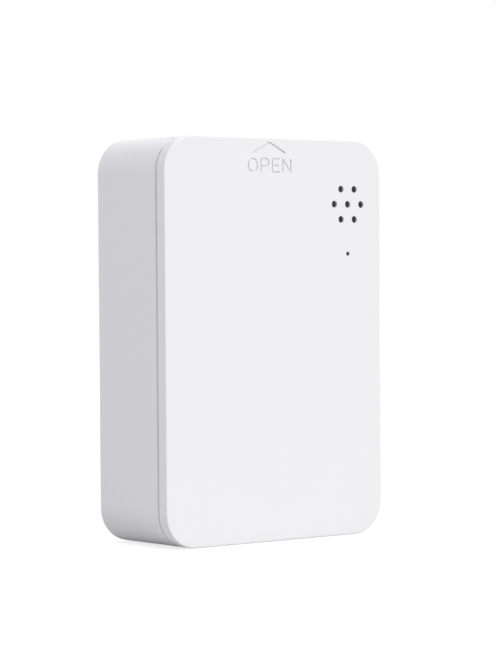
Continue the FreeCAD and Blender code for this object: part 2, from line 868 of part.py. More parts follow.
def spring_points(across, foot, up):
    """Return the places and directions of a conical spring's centre line, by quarter turns."""
    wire = measure("spring_wire")
    base = measure("(spring_base - spring_wire) / 2")
    taper = measure("(spring_base - spring_tip) / 2")
    rise = measure("spring_height - spring_wire") - measure("touch_gap")
    start = Vector(measure(across), measure("cell_y"), measure(foot) + up * wire / 2)
    quarters = 4 * SPRING_TURNS
    points = []
    for quarter in range(quarters + 1):
        share = quarter / quarters
        angle = math.radians(90 * quarter)
        radius = base - taper * share
        outward = Vector(math.cos(angle), math.sin(angle), 0)
        onward = Vector(-math.sin(angle), math.cos(angle), 0)
        per_radian = 1 / math.radians(90 * quarters)
        heading = onward * radius - outward * taper * per_radian
        heading.z = up * rise * per_radian
        place = start + outward * radius + Vector(0, 0, up * rise * share)
        points.append((place, heading.normalize()))
    return points


def arc_from(start, heading, end):
    """Return the arc that leaves a point in a given direction and ends at another."""
    chord = end - start
    half_turn = heading.getAngle(chord)
    middle = (start + end) / 2
    along = chord / chord.Length
    aside = heading - along * heading.dot(along)
    rise = chord.Length / 2 * math.tan(half_turn / 2)
    return Part.Arc(start, middle + aside.normalize() * rise, end).toShape()


def spring_path(points):
    """Join the points of a spring by pairs of arcs that meet smoothly."""
    edges = []
    for (start, heading), (end, arrival) in zip(points, points[1:]):
        span = end - start
        both = heading + arrival
        spread = 2 * (1 - heading.dot(arrival))
        slope = span.dot(both)
        reach = (math.sqrt(slope * slope + spread * span.dot(span)) - slope) / spread
        joint = (start + heading * reach + end - arrival * reach) / 2
        edges.append(arc_from(start, heading, joint))
        back = arc_from(end, arrival * -1, joint)
        back.reverse()
        edges.append(back)
    return Part.Wire(edges)


def make_spring(label, across, foot, up):
    """One conical contact spring, wide at its plate and narrow at the cell."""
    points = spring_points(across, foot, up)
    path = spring_path(points)
    start, heading = points[0]
    section = Part.Wire(Part.Circle(start, heading, measure("spring_wire") / 2).toShape())
    feature = doc.addObject("Part::Feature", label)
    feature.Label = label
    feature.Shape = path.makePipeShell([section], True, False)
    feature.Placement = FreeCAD.Placement()
    turn_gap = min(
        (points[place][0] - points[place + 4][0]).Length for place in range(len(points) - 4)
    )
    print(f"{label}: least gap between turns {turn_gap - measure('spring_wire'):.2f} mm")
    return feature


# Circuit board and what is soldered to it

def make_circuit_board():
    """The main board, notched round the screw bosses."""
    body = new_body("circuit_board")
    build_up(body, "board_back_y", "board_y", draw_rounded_rectangle,
             case_outline("side_wall + board_clearance"))
    cut_away(body, "board_y", "board_back_y", draw_lug, *[
        (across, up, "boss_diameter + 2 * boss_clearance", foot)
        for across, up, foot in boss_places()
    ])
    cut_away(body, "board_y", "board_back_y", draw_rectangle, *tail_slots())
    cut_away(body, "board_y", "board_back_y", draw_circle, *[
        (f"grille_x + {side} * pin_pitch / 2", "grille_z", "pin_diameter + 2 * pin_clearance")
        for side in SIDES
    ])
    return body


MODULE_PADS = 6


def make_radio_module_board():
    """The radio's own small board, with half-round solder pads down both long edges."""
    body = new_body("radio_module_board")
    build_up(body, "board_y", "board_y - module_thickness", draw_rectangle,
             ("module_left_x", "module_left_x + module_width", "module_z", "module_top_z"))
    cut_away(body, "board_y - module_thickness", "board_y", draw_circle, *[
        (f"strip_x + {side} * module_width / 2", f"module_top_z - {step} * pad_pitch", "pad_hole")
        for side in SIDES for step in range(1, MODULE_PADS + 1)
    ])
    return body


def make_radio_shield_can():
    """Drawn metal can over the radio chips."""
    body = new_body("radio_shield_can")
    outline = (
        "strip_x - can_width / 2",
        "strip_x + can_width / 2",
        "module_top_z - can_margin - can_length",
        "module_top_z - can_margin",
    )
    build_up(body, "board_y - module_thickness", "board_y - module_thickness - can_height",
             draw_rectangle, outline)
    dress(body, "Fillet", edges_along_depth(body), "can_edge")
    dress(body, "Fillet", edges_at_depth(body, "board_y - module_thickness - can_height"),
          "can_edge")
    sketch = new_sketch(body, "XZ_Plane", "-(board_y - module_thickness)")
    draw_rectangle(
        sketch,
        f"{outline[0]} + can_edge",
        f"{outline[1]} - can_edge",
        f"{outline[2]} + can_edge",
        f"{outline[3]} - can_edge",
    )
    pocket(body, sketch, "can_height - can_edge - can_wall", along_normal=True)
    return body


def make_sense_chip():
    """The eight-legged chip that compares the water probes."""
    body = new_body("sense_chip")
    build_up(body, "board_y - chip_lift", "board_y - chip_height", draw_rectangle, (
        "chip_x - chip_width / 2",
        "chip_x + chip_width / 2",
        "chip_z - chip_length / 2",
        "chip_z + chip_length / 2",
    ))
    build_up(body, "board_y", "board_y - lead_thickness", draw_rectangle, *[
        (
            "chip_x - chip_width / 2 - lead_reach",
            "chip_x + chip_width / 2 + lead_reach",
            f"chip_z + {step} * lead_pitch - lead_width / 2",
            f"chip_z + {step} * lead_pitch + lead_width / 2",
        )
        for step in (-1.5, -0.5, 0.5, 1.5)
    ])
    return body


def make_storage_capacitor():
    """The can-shaped capacitor that feeds the sounder, on its square foot."""
    body = new_body("storage_capacitor")
    build_up(body, "board_y", "board_y - reservoir_foot", draw_rectangle, (
        "reservoir_x - reservoir_base / 2",
        "reservoir_x + reservoir_base / 2",
        "reservoir_z - reservoir_base / 2",
        "reservoir_z + reservoir_base / 2",
    ))
    build_up(body, "board_y - reservoir_foot", "board_y - reservoir_height", draw_circle,
             ("reservoir_x", "reservoir_z", "reservoir_diameter"))
    dress(body, "Fillet", edges_at_depth(body, "board_y - reservoir_height"), "can_edge")
    return body


def make_small_board_parts():
    """Resistors and capacitors in two columns on each side of the switch."""
    body = new_body("small_board_parts")
    near = "switch_width / 2 + lead_reach + small_part_gap"
    build_up(body, "board_y", "board_y - small_part_height", draw_rectangle, *[
        (
            f"strip_x + {side} * ({near} + {column} * small_part_pitch)",
            f"strip_x + {side} * ({near} + {column} * small_part_pitch + small_part_width)",
            f"switch_z + {row} * small_part_row - small_part_length / 2",
            f"switch_z + {row} * small_part_row + small_part_length / 2",
        )
        for side in SIDES for column in (0, 1) for row in (-1, 0, 1)
    ])
    return body


def make_sounder_case():
    """Round sounder with a chamfered edge and a port in the middle of its face."""
    body = new_body("sounder_case")
    turn_facing(body, "grille_x", "grille_z", [
        ("0", "board_y"),
        ("sounder_diameter / 2", "board_y"),
        ("sounder_diameter / 2", "board_y - sounder_height + sounder_edge"),
        ("sounder_diameter / 2 - sounder_edge", "board_y - sounder_height"),
        ("sounder_port / 2", "board_y - sounder_height"),
        ("sounder_port / 2", "board_y - sounder_height + sounder_port_depth"),
        ("0", "board_y - sounder_height + sounder_port_depth"),
    ])
    return body


def make_sounder_pins():
    """The two solder pins of the sounder."""
    body = new_body("sounder_pins")
    build_up(body, "board_back_y + pin_tail", "board_y", draw_circle, *[
        (f"grille_x + {side} * pin_pitch / 2", "grille_z", "pin_diameter") for side in SIDES
    ])
    return body


def make_status_light():
    """The light chip under the pin-hole: a base and a narrower clear lens."""
    body = new_body("status_light")
    build_up(body, "board_y", "board_y - light_base", draw_rectangle, (
        "grille_x - light_length / 2",
        "grille_x + light_length / 2",
        "light_z - light_width / 2",
        "light_z + light_width / 2",
    ))
    build_up(body, "board_y - light_base", "board_y - light_height", draw_rectangle, (
        "grille_x - light_width / 2",
        "grille_x + light_width / 2",
        "light_z - light_width / 2",
        "light_z + light_width / 2",
    ))
    return body


def make_light_pipe():
    """Clear rod that carries the light from the chip to the pin-hole."""
    body = new_body("light_pipe")
    turn_facing(body, "grille_x", "light_z", [
        ("0", "board_y - light_height - light_gap"),
        ("pipe_diameter / 2", "board_y - light_height - light_gap"),
        ("pipe_diameter / 2", "deck_back_y + pipe_flange_thickness"),
        ("pipe_flange / 2", "deck_back_y + pipe_flange_thickness"),
        ("pipe_flange / 2", "deck_back_y"),
        ("pipe_diameter / 2", "deck_back_y"),
        ("pipe_diameter / 2", "slide_y + pipe_nose"),
        ("pipe_diameter / 2 - pipe_nose", "slide_y"),
        ("0", "slide_y"),
    ])
    return body


# Pairing button

def make_switch_body():
    """Square tact switch with cut corners, four legs and the plunger's bore."""
    body = new_body("switch_body")
    build_up(body, "board_y", "board_y - switch_height", draw_rectangle, (
        "strip_x - switch_width / 2",
        "strip_x + switch_width / 2",
        "switch_z - switch_width / 2",
        "switch_z + switch_width / 2",
    ))
    dress(body, "Chamfer", edges_along_depth(body), "switch_corner")
    build_up(body, "board_y", "board_y - lead_thickness", draw_rectangle, *[
        (
            "strip_x - switch_width / 2 - lead_reach",
            "strip_x + switch_width / 2 + lead_reach",
            f"switch_z + {side} * switch_leg_pitch / 2 - lead_width",
            f"switch_z + {side} * switch_leg_pitch / 2 + lead_width",
        )
        for side in SIDES
    ])
    cut_away(
        body, "board_y - switch_height",
        "board_y - switch_height + plunger_depth + press_travel + plunger_clearance",
        draw_circle, ("strip_x", "switch_z", "plunger_diameter + 2 * plunger_clearance"),
    )
    return body


def make_switch_plunger():
    """The plunger that the button pushes into the switch."""
    body = new_body("switch_plunger")
    turn_facing(body, "strip_x", "switch_z", [
        ("0", "board_y - switch_height + plunger_depth"),
        ("plunger_diameter / 2", "board_y - switch_height + plunger_depth"),
        ("plunger_diameter / 2", "board_y - switch_height - plunger_reach"),
        ("0", "board_y - switch_height - plunger_reach"),
    ])
    return body


def make_pairing_button():
    """Button with a stem down to the switch and a flange that holds it behind the deck."""
    body = new_body("pairing_button")
    flange_y = "deck_back_y + button_play"
    turn_facing(body, "strip_x", "switch_z", [
        ("0", "board_y - switch_height - plunger_reach"),
        ("button_stem / 2", "board_y - switch_height - plunger_reach"),
        ("button_stem / 2", f"{flange_y} + button_flange_thickness"),
        ("button_flange / 2", f"{flange_y} + button_flange_thickness"),
        ("button_flange / 2", flange_y),
        ("button_diameter / 2", flange_y),
        ("button_diameter / 2", "deck_y - button_proud + button_edge"),
        ("button_diameter / 2 - button_edge", "deck_y - button_proud"),
        ("0", "deck_y - button_proud"),
    ])
    return body


# Water probes and fasteners

def repeat_studs(body, feature):
    """Repeat a feature at the four water probes."""
    repeat(body, feature, "2 * stud_x", "case_height - 2 * stud_from_end")


def make_probe_studs():
    """Four round-headed studs that touch the water behind the case."""
    body = new_body("probe_studs")
    feature = turn_facing(body, "-stud_x", "stud_from_end", [
        ("0", "back_y + stud_proud"),
        ("stud_head / 2 - stud_edge", "back_y + stud_proud"),
        ("stud_head / 2", "back_y + stud_proud - stud_edge"),
        ("stud_head / 2", "back_y"),
        ("stud_shank / 2", "back_y"),
        ("stud_shank / 2", "board_back_y + stud_short"),
        ("0", "board_back_y + stud_short"),
    ])
    repeat_studs(body, feature)
    return body


def make_probe_seal_rings():
    """Four rubber rings, pressed flat between each stud's head and the case."""
    body = new_body("probe_seal_rings")
    bore = "stud_shank / 2 + thread_clearance"
    feature = turn_facing(body, "-stud_x", "stud_from_end", [
        (bore, "back_y - seal_round"),
        (f"{bore} + seal_round", "back_y"),
        (f"{bore} + seal_width - seal_round", "back_y"),
        (f"{bore} + seal_width", "back_y - seal_round"),
        (f"{bore} + seal_width", "back_y - seal_depth + seal_round"),
        (f"{bore} + seal_width - seal_round", "back_y - seal_depth"),
        (f"{bore} + seal_round", "back_y - seal_depth"),
        (bore, "back_y - seal_depth + seal_round"),
    ])
    repeat_studs(body, feature)
    return body


def make_probe_standoffs():
    """Four hexagonal threaded posts between the board and the case."""
    body = new_body("probe_standoffs")
    sketch = new_sketch(body, "XZ_Plane", "-floor_y")
    draw_hexagon(sketch, "-stud_x", "stud_from_end", "standoff_width")
    draw_circle(sketch, "-stud_x", "stud_from_end", "stud_shank + 2 * thread_clearance")
    feature = pad(body, sketch, "standoff_height")
    repeat_studs(body, feature)
    return body


def make_chassis_screws():
    """Four self-tapping screws that hold the chassis to the case."""
    body = new_body("chassis_screws")
    feature = turn_facing(body, "-boss_x", "boss_z", [
        ("0", "deck_y - screw_head_height"),
        ("screw_head_flat / 2", "deck_y - screw_head_height"),
        ("screw_head / 2", "deck_y - screw_head_height / 2"),
        ("screw_head / 2", "deck_y"),
        ("screw_shank / 2", "deck_y"),
        ("screw_shank / 2", "deck_y + screw_length - screw_shank / 2"),
        ("0", "deck_y + screw_length"),
    ])
    repeat(body, feature, "boss_spacing", "case_height - 2 * boss_z")
    return body


# Assembly

spring_seat = "bay_bottom_z + contact_thickness"
right_spring_seat = "bay_top_z - contact_thickness"

sub_parts = [
    make_rear_housing(),
    make_front_cover(),
    make_battery_chassis(),
    make_chassis_screws(),
    make_cell("aaa_cell_left", "cell_left_x", 1, f"{spring_seat} + spring_height"),
    make_cell("aaa_cell_right", "cell_right_x", -1, f"{right_spring_seat} - spring_height"),
    make_end_contact("positive_contact", "cell_left_x", True),
    make_end_contact("negative_contact", "cell_right_x", False),
    make_bridge_contact(),
    make_spring("bridge_spring", "cell_left_x", spring_seat, 1),
    make_spring("negative_spring", "cell_right_x", right_spring_seat, -1),
    make_circuit_board(),
    make_radio_module_board(),
    make_radio_shield_can(),
    make_sense_chip(),
    make_storage_capacitor(),
    make_small_board_parts(),
    make_sounder_case(),
    make_sounder_pins(),
    make_status_light(),
    make_light_pipe(),
    make_switch_body(),
    make_switch_plunger(),
    make_pairing_button(),
    make_probe_studs(),
    make_probe_seal_rings(),
    make_probe_standoffs(),
]
doc.recompute()

for item in doc.Objects:
    if "Invalid" in item.State or "Error" in item.State:
        raise RuntimeError(f"{item.Name} failed: {item.State}")
for sub_part in sub_parts:
    if sub_part.Shape.isNull() or not sub_part.Shape.isValid():
        raise RuntimeError(f"{sub_part.Label} has no valid shape")

os.makedirs("parts", exist_ok=True)
for sub_part in sub_parts:
    sub_part.Shape.exportStep(f"parts/{sub_part.Label}.step")
    box = sub_part.Shape.BoundBox
    print(
        f"{sub_part.Label}: {len(sub_part.Shape.Solids)} solid(s), "
        f"x {box.XMin:.2f} to {box.XMax:.2f}, y {box.YMin:.2f} to {box.YMax:.2f}, "
        f"z {box.ZMin:.2f} to {box.ZMax:.2f}"
    )
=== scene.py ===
"""Water leak sensor: the finish of every surface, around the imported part.

Everything is in metres, in the part's own frame: X to the right as the front is
faced, Y from the front to the back, Z up, with the origin on the floor.
"""

import logging
import math
from collections.abc import Iterable, Iterator
from contextlib import contextmanager
from dataclasses import dataclass
from enum import Enum, IntEnum
from itertools import accumulate
from typing import Any

import bmesh
import bpy
from bpy.types import ID, Material, Mesh, Node, NodeSocket, NodeTree, Object, World
from mathutils import Matrix, Vector


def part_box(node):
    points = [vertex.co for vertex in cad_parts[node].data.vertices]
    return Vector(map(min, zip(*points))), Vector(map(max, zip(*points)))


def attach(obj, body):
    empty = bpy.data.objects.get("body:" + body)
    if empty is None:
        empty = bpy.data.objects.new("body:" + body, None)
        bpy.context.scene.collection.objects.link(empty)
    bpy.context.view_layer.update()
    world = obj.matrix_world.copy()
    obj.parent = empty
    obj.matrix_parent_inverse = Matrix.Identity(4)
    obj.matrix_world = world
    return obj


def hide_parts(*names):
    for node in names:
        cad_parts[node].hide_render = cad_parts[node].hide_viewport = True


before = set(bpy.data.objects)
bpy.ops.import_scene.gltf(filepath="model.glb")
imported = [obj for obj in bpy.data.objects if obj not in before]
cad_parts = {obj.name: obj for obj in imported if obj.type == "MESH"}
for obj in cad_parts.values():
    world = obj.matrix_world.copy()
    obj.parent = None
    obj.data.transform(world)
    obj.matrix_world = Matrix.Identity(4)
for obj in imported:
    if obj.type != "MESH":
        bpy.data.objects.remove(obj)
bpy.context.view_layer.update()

MM = 0.001
QUARTER_TURN = (math.pi / 2, 0.0, 0.0)
SOCKET_KINDS = {float: "NodeSocketFloat", tuple: "NodeSocketVector", Material: "NodeSocketMaterial"}
# The places of the Mix node's two inputs and its output, for colours and for numbers.
COLOUR_ONE, COLOUR_TWO, COLOUR_OUT = 6, 7, 2
NUMBER_ONE, NUMBER_TWO, NUMBER_OUT = 2, 3, 0
log = logging.getLogger("leak_sensor")

Point = tuple[float, float]
Parts = dict[Any, Any]
Source = Node | NodeSocket


class Body(str, Enum):
    """The bodies that a piece can ride on."""

    CASE = "case"
    COVER = "cover"


class Axis(Enum):
    """A direction of the frame, by its place in a vector."""

    ACROSS = 0
    DEPTH = 1
    UP = 2


class CellZone(IntEnum):
    """The surfaces of a power cell, by the place of their material."""

    STEEL = 0
    FILM = 1
    RING = 2


# Nodes, colours and meshes


def add_node(tree: NodeTree, kind: str, given: Parts | None = None) -> Node:
    """Add one node to a tree.

    Args:
        tree: the node tree of a material, a world or a modifier.
        kind: the node's type name.
        given: what the node gets, by the name of a property, or by the name or place of an
            input. A socket or a node is linked, and so is each one of a list.

    Returns:
        The new node. Given to another node, it stands for its first output.
    """
    node = tree.nodes.new(kind)
    for name, value in (given or {}).items():
        sources = value if isinstance(value, list) else [value]
        if isinstance(sources[0], Source):
            for source in sources:
                output = source.outputs[0] if isinstance(source, Node) else source
                tree.links.new(output, node.inputs[name])
        elif isinstance(name, str) and hasattr(node, name):
            setattr(node, name, value)
        else:
            node.inputs[name].default_value = value
    return node


def linear(tint: str) -> tuple[float, float, float, float]:
    """Turn an sRGB hex colour into linear light, by the rule of the sRGB standard.

    Args:
        tint: six hex digits, such as "E8E8EA".

    Returns:
        Red, green and blue from 0 to 1, and an alpha of 1.
    """
    parts = [int(tint[place:place + 2], 16) / 255 for place in (0, 2, 4)]
    light = [part / 12.92 if part <= 0.04045 else ((part + 0.055) / 1.055) ** 2.4 for part in parts]
    return (*light, 1.0)


def arc(middle: Point, reach: Point, angles: Iterable[float]) -> list[Point]:
    """Return the points of an ellipse at some angles.

    Args:
        middle: the middle of the ellipse.
        reach: its half width and half height.
        angles: in degrees, counted from the right towards the top.

    Returns:
        A point for each angle.
    """
    turns = [math.radians(angle) for angle in angles]
    (x, y), (wide, high) = middle, reach
    return [(x + wide * math.cos(turn), y + high * math.sin(turn)) for turn in turns]


def middle_of(node: str) -> Vector:
    """Return the middle of a CAD node's box."""
    low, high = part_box(node)
    return (low + high) / 2


def new_object(name: str, data: ID) -> Object:
    """Put something into the scene as an object at the origin.

    Args:
        name: the name of the object and of its data.
        data: a mesh, a curve, a lamp or a camera.

    Returns:
        The object.
    """
    data.name = name
    made = bpy.data.objects.new(name, data)
    bpy.context.scene.collection.objects.link(made)
    return made


def plain_copy(source: Object, name: str) -> Object:
    """Turn what an object's modifiers show into a plain mesh, and remove the object.

    Args:
        source: an object with live modifiers, or a curve.
        name: the new object's name.

    Returns:
        The new object, with its place in its mesh.
    """
    graph = bpy.context.evaluated_depsgraph_get()
    mesh = bpy.data.meshes.new_from_object(source.evaluated_get(graph), depsgraph=graph)
    mesh.transform(source.matrix_world)
    bpy.data.objects.remove(source)
    return new_object(name, mesh)


@contextmanager
def edited(mesh: Mesh) -> Iterator[bmesh.types.BMesh]:
    """Open a mesh for editing, and write it back at the end.

    Args:
        mesh: the mesh, which may still be empty.

    Yields:
        Its editable form.
    """
    shape = bmesh.new()
    shape.from_mesh(mesh)
    yield shape
    shape.to_mesh(mesh)
    shape.free()


def shade_by_angle(mesh: Mesh, degrees: float = 32.0) -> None:
    """Shade a mesh smooth, except over edges sharper than an angle.

    Args:
        mesh: the mesh, with its doubles merged.
        degrees: the sharpest turn that still looks round.
    """
    with edited(mesh) as shape:
        for face in shape.faces:
            face.smooth = True
        for edge in shape.edges:
            edge.smooth = edge.is_manifold and edge.calc_face_angle() < math.radians(degrees)


def lathe(profile: list[Point], segments: int, zones: list[int] | None = None) -> Mesh:
    """Turn a profile about the Z axis, with a UV map of angle and run along the profile.

    Args:
        profile: radius and height of each point, from one end of the axis to the other.
        segments: how many faces go round.
        zones: the material of each stretch between two points.

    Returns:
        A closed mesh whose faces point outwards.
    """
    mesh = bpy.data.meshes.new("turned")
    zones = zones or [0] * (len(profile) - 1)
    run = 0.0
    with edited(mesh) as shape:
        uv_layer = shape.loops.layers.uv.new("around")
        rings: list[list[bmesh.types.BMVert]] = []
        for radius, height in profile:
            count = segments if radius else 1
            turns = (2 * math.pi * step / count for step in range(count))
            rings.append([shape.verts.new((radius * math.sin(turn), radius * math.cos(turn), height))
                          for turn in turns])
        for place, (low, high) in enumerate(zip(rings, rings[1:])):
            following_run = run + math.dist(profile[place], profile[place + 1])
            for step in range(segments):
                corners = [
                    (low[step % len(low)], step, run),
                    (low[(step + 1) % len(low)], step + 1, run),
                    (high[(step + 1) % len(high)], step + 1, following_run),
                    (high[step % len(high)], step, following_run),
                ]
                kept = [c for spot, c in enumerate(corners) if c[0] is not corners[spot - 1][0]]
                face = shape.faces.new([vert for vert, _, _ in kept])
                face.material_index = zones[place]
                face.smooth = True
                for loop, (_, around, along) in zip(face.loops, kept):
                    loop[uv_layer].uv = (around / segments, along)
            run = following_run
        bmesh.ops.recalc_face_normals(shape, faces=shape.faces)
    return mesh


class ShaderTree:
    """The nodes of a material or a world, built up from none."""

    def __init__(self, owner: Material | World) -> None:
        """Switch the owner's nodes on and clear them.

        Args:
            owner: the material or the world.
        """
        owner.use_nodes = True
        self.tree = owner.node_tree
        self.tree.nodes.clear()

    def add(self, kind: str, given: Parts | None = None) -> Node:
        """Add a node as add_node does, by its type name after the word ShaderNode."""
        return add_node(self.tree, f"ShaderNode{kind}", given)


class NodeRecipe:
    """A Geometry Nodes tree with named inputs, which ends in one realised mesh."""

    def __init__(self, name: str, sizes: Parts, finish: Material) -> None:
        """Start the tree.

        Args:
            name: the tree's name.
            sizes: the named inputs, and the number or the vector that each is set to.
            finish: the material of the result.
        """
        self.values = {**sizes, "Finish": finish}
        self.tree = bpy.data.node_groups.new(name, "GeometryNodeTree")
        sockets = self.tree.interface
        sockets.new_socket("Geometry", in_out="INPUT", socket_type="NodeSocketGeometry")
        for label, value in self.values.items():
            sockets.new_socket(label, in_out="INPUT", socket_type=SOCKET_KINDS[type(value)])
        sockets.new_socket("Geometry", in_out="OUTPUT", socket_type="NodeSocketGeometry")
        self.given = add_node(self.tree, "NodeGroupInput").outputs

    def add(self, kind: str, given: Parts | None = None) -> Node:
        """Add a node as add_node does, by its type name after the word GeometryNode."""
        return add_node(self.tree, f"GeometryNode{kind}", given)

    def run(self, last: Source, carrier: Object, name: str) -> Object:
        """End the tree, run it on an object and keep the result as a plain mesh.

        Args:
            last: the geometry that the tree has made.
            carrier: the object whose own geometry goes in; it is used up.
            name: the finished piece's name.

        Returns:
            The finished piece, at the origin, with no modifier.
        """
        real = self.add("RealizeInstances", {"Geometry": last})
        dressed = self.add("SetMaterial", {"Geometry": real, "Material": self.given["Finish"]})
        add_node(self.tree, "NodeGroupOutput", {0: dressed})
        modifier = carrier.modifiers.new("recipe", "NODES")
        modifier.node_group = self.tree
        for item in self.tree.interface.items_tree:
            if item.name in self.values:
                modifier[item.identifier] = self.values[item.name]
        return plain_copy(carrier, name)


# Finishes


@dataclass(frozen=True)
class Finish:
    """A surface: its colour, how it shines and how fine its relief is.

    Sizes of patterns are real ones, in millimetres.
    """

    name: str
    tint: str = "808080"
    roughness: float = 0.5
    metallic: float = 0.0
    ior: float = 1.5
    transmission: float = 0.0
    grain_mm: float = 0.3
    grain_detail: float = 3.0
    relief_mm: float = 0.004
    drift_mm: float = 14.0
    drift_detail: float = 2.0
    drift: float = 0.03

    def spots(self, tree: ShaderTree) -> NodeSocket:
        """Return where on the object a point lies."""
        return tree.add("TexCoord").outputs["Object"]

    def shape(self, tree: ShaderTree) -> Source:
        """Return the height of the finest relief: an even grain."""
        return tree.add("TexNoise", {
            "Scale": 1 / (self.grain_mm * MM), "Detail": self.grain_detail, "Vector": self.spots(tree)})

    def surface(self, tree: ShaderTree) -> Parts:
        """Build the finish up to the shader, with a slow drift as of the flow of a melt.

        Args:
            tree: the material's node tree.

        Returns:
            What the shader takes: colour, roughness, metallic, and the height of the relief.
        """
        clouds = tree.add("TexNoise", {
            "Scale": 1 / (self.drift_mm * MM), "Detail": self.drift_detail, "Vector": self.spots(tree)})
        base = linear(self.tint)
        darker = (*(part * (1 - self.drift) for part in base[:3]), 1.0)
        colour = tree.add("Mix", {"data_type": "RGBA", 0: clouds, COLOUR_ONE: darker, COLOUR_TWO: base})
        swing = 2 * self.drift * self.roughness
        shine = tree.add("MapRange", {
            "Value": clouds, "To Min": self.roughness - swing, "To Max": self.roughness + swing})
        return {
            "Base Color": colour.outputs[COLOUR_OUT],
            "Roughness": shine,
            "Metallic": self.metallic,
            "Height": self.shape(tree),
        }

    def make(self) -> Material:
        """Build the material at its first use, with one shader at its end.

        Returns:
            The material, which later uses share.
        """
        if self.name in bpy.data.materials:
            return bpy.data.materials[self.name]
        material = bpy.data.materials.new(self.name)
        tree = ShaderTree(material)
        parts = self.surface(tree)
        bump = tree.add("Bump", {
            "Strength": 1.0, "Distance": self.relief_mm * MM, "Height": parts.pop("Height")})
        shader = tree.add("BsdfPrincipled", {
            **parts, "IOR": self.ior, "Transmission Weight": self.transmission, "Normal": bump})
        tree.add("OutputMaterial", {"Surface": shader})
        return material


@dataclass(frozen=True)
class DrawnMetal(Finish):
    """Rolled, drawn or plated metal with fine lines along one direction."""

    metallic: float = 1.0
    along: Axis = Axis.UP
    line_mm: float = 0.12
    line_detail: float = 2.0
    stretch: float = 14.0

    def shape(self, tree: ShaderTree) -> Source:
        """Return the height of the lines of rolling or drawing.

        Args:
            tree: the material's node tree.

        Returns:
            A noise that is stretched along the metal.
        """
        scale = [1.0, 1.0, 1.0]
        scale[self.along.value] = 1 / self.stretch
        place = tree.add("Mapping", {"Scale": scale, "Vector": self.spots(tree)})
        return tree.add("TexNoise", {
            "Scale": 1 / (self.line_mm * MM), "Detail": self.line_detail, "Vector": place})


@dataclass(frozen=True)
class TurnedMetal(Finish):
    """A turned face with rings about its own middle, at four like places."""

    metallic: float = 1.0
    across: float = 0.0
    up: float = 0.0
    middle: float = 0.0
    ring_mm: float = 0.25

    def shape(self, tree: ShaderTree) -> Source:
        """Return the height of the rings that the tool leaves.

        Args:
            tree: the material's node tree.

        Returns:
            A wave about each of the four middles.
        """
        parts = tree.add("SeparateXYZ", {0: self.spots(tree)}).outputs
        folded = []
        for part, fold, reach in ((parts[0], 0.0, self.across), (parts[2], self.middle, self.up)):
            from_fold = tree.add("Math", {"operation": "SUBTRACT", 0: part, 1: fold})
            one_side = tree.add("Math", {"operation": "ABSOLUTE", 0: from_fold})
            folded.append(tree.add("Math", {"operation": "SUBTRACT", 0: one_side, 1: reach}))
        flat = tree.add("CombineXYZ", dict(enumerate(folded)))
        distance = tree.add("VectorMath", {"operation": "LENGTH", 0: flat}).outputs["Value"]
        per_metre = 2 * math.pi / (self.ring_mm * MM)
        turns = tree.add("Math", {"operation": "MULTIPLY", 0: distance, 1: per_metre})
        return tree.add("Math", {"operation": "SINE", 0: turns})


@dataclass(frozen=True)
class GlassLaminate(Finish):
    """Circuit board: solder mask over a woven glass laminate, with tracks under it."""

    weave_mm: float = 0.5
    weave_gap: float = 0.05
    thread_length: float = 1.0
    thread_width: float = 0.5
    track_tint: str = "2E7D4A"
    track_grid_mm: float = 3.3
    track_from: float = 0.46
    track_to: float = 0.5

    def upright(self, tree: ShaderTree) -> Source:
        """Return a point's place in the board's own plane."""
        return tree.add("Mapping", {"Rotation": QUARTER_TURN, "Vector": self.spots(tree)})

    def shape(self, tree: ShaderTree) -> Source:
        """Return the height of the weave of the glass, seen through the mask.

        Args:
            tree: the material's node tree.

        Returns:
            A pattern of threads as a wall has bricks.
        """
        return tree.add("TexBrick", {
            "Scale": 1 / (self.weave_mm * MM), "Mortar Size": self.weave_gap,
            "Brick Width": self.thread_length, "Row Height": self.thread_width,
            "Vector": self.upright(tree)}).outputs["Fac"]

    def surface(self, tree: ShaderTree) -> Parts:
        """Build the finish, with lighter stretches where copper runs under the mask.

        Args:
            tree: the material's node tree.

        Returns:
            What the shader takes.
        """
        parts = super().surface(tree)
        cells = tree.add("TexVoronoi", {
            "distance": "MANHATTAN", "feature": "F1", "Scale": 1 / (self.track_grid_mm * MM),
            "Vector": self.upright(tree)})
        mask = tree.add("MapRange", {
            "Value": cells.outputs["Distance"], "From Min": self.track_from, "From Max": self.track_to})
        colour = tree.add("Mix", {
            "data_type": "RGBA", 0: mask, COLOUR_ONE: parts["Base Color"],
            COLOUR_TWO: linear(self.track_tint)})
        return {**parts, "Base Color": colour.outputs[COLOUR_OUT]}


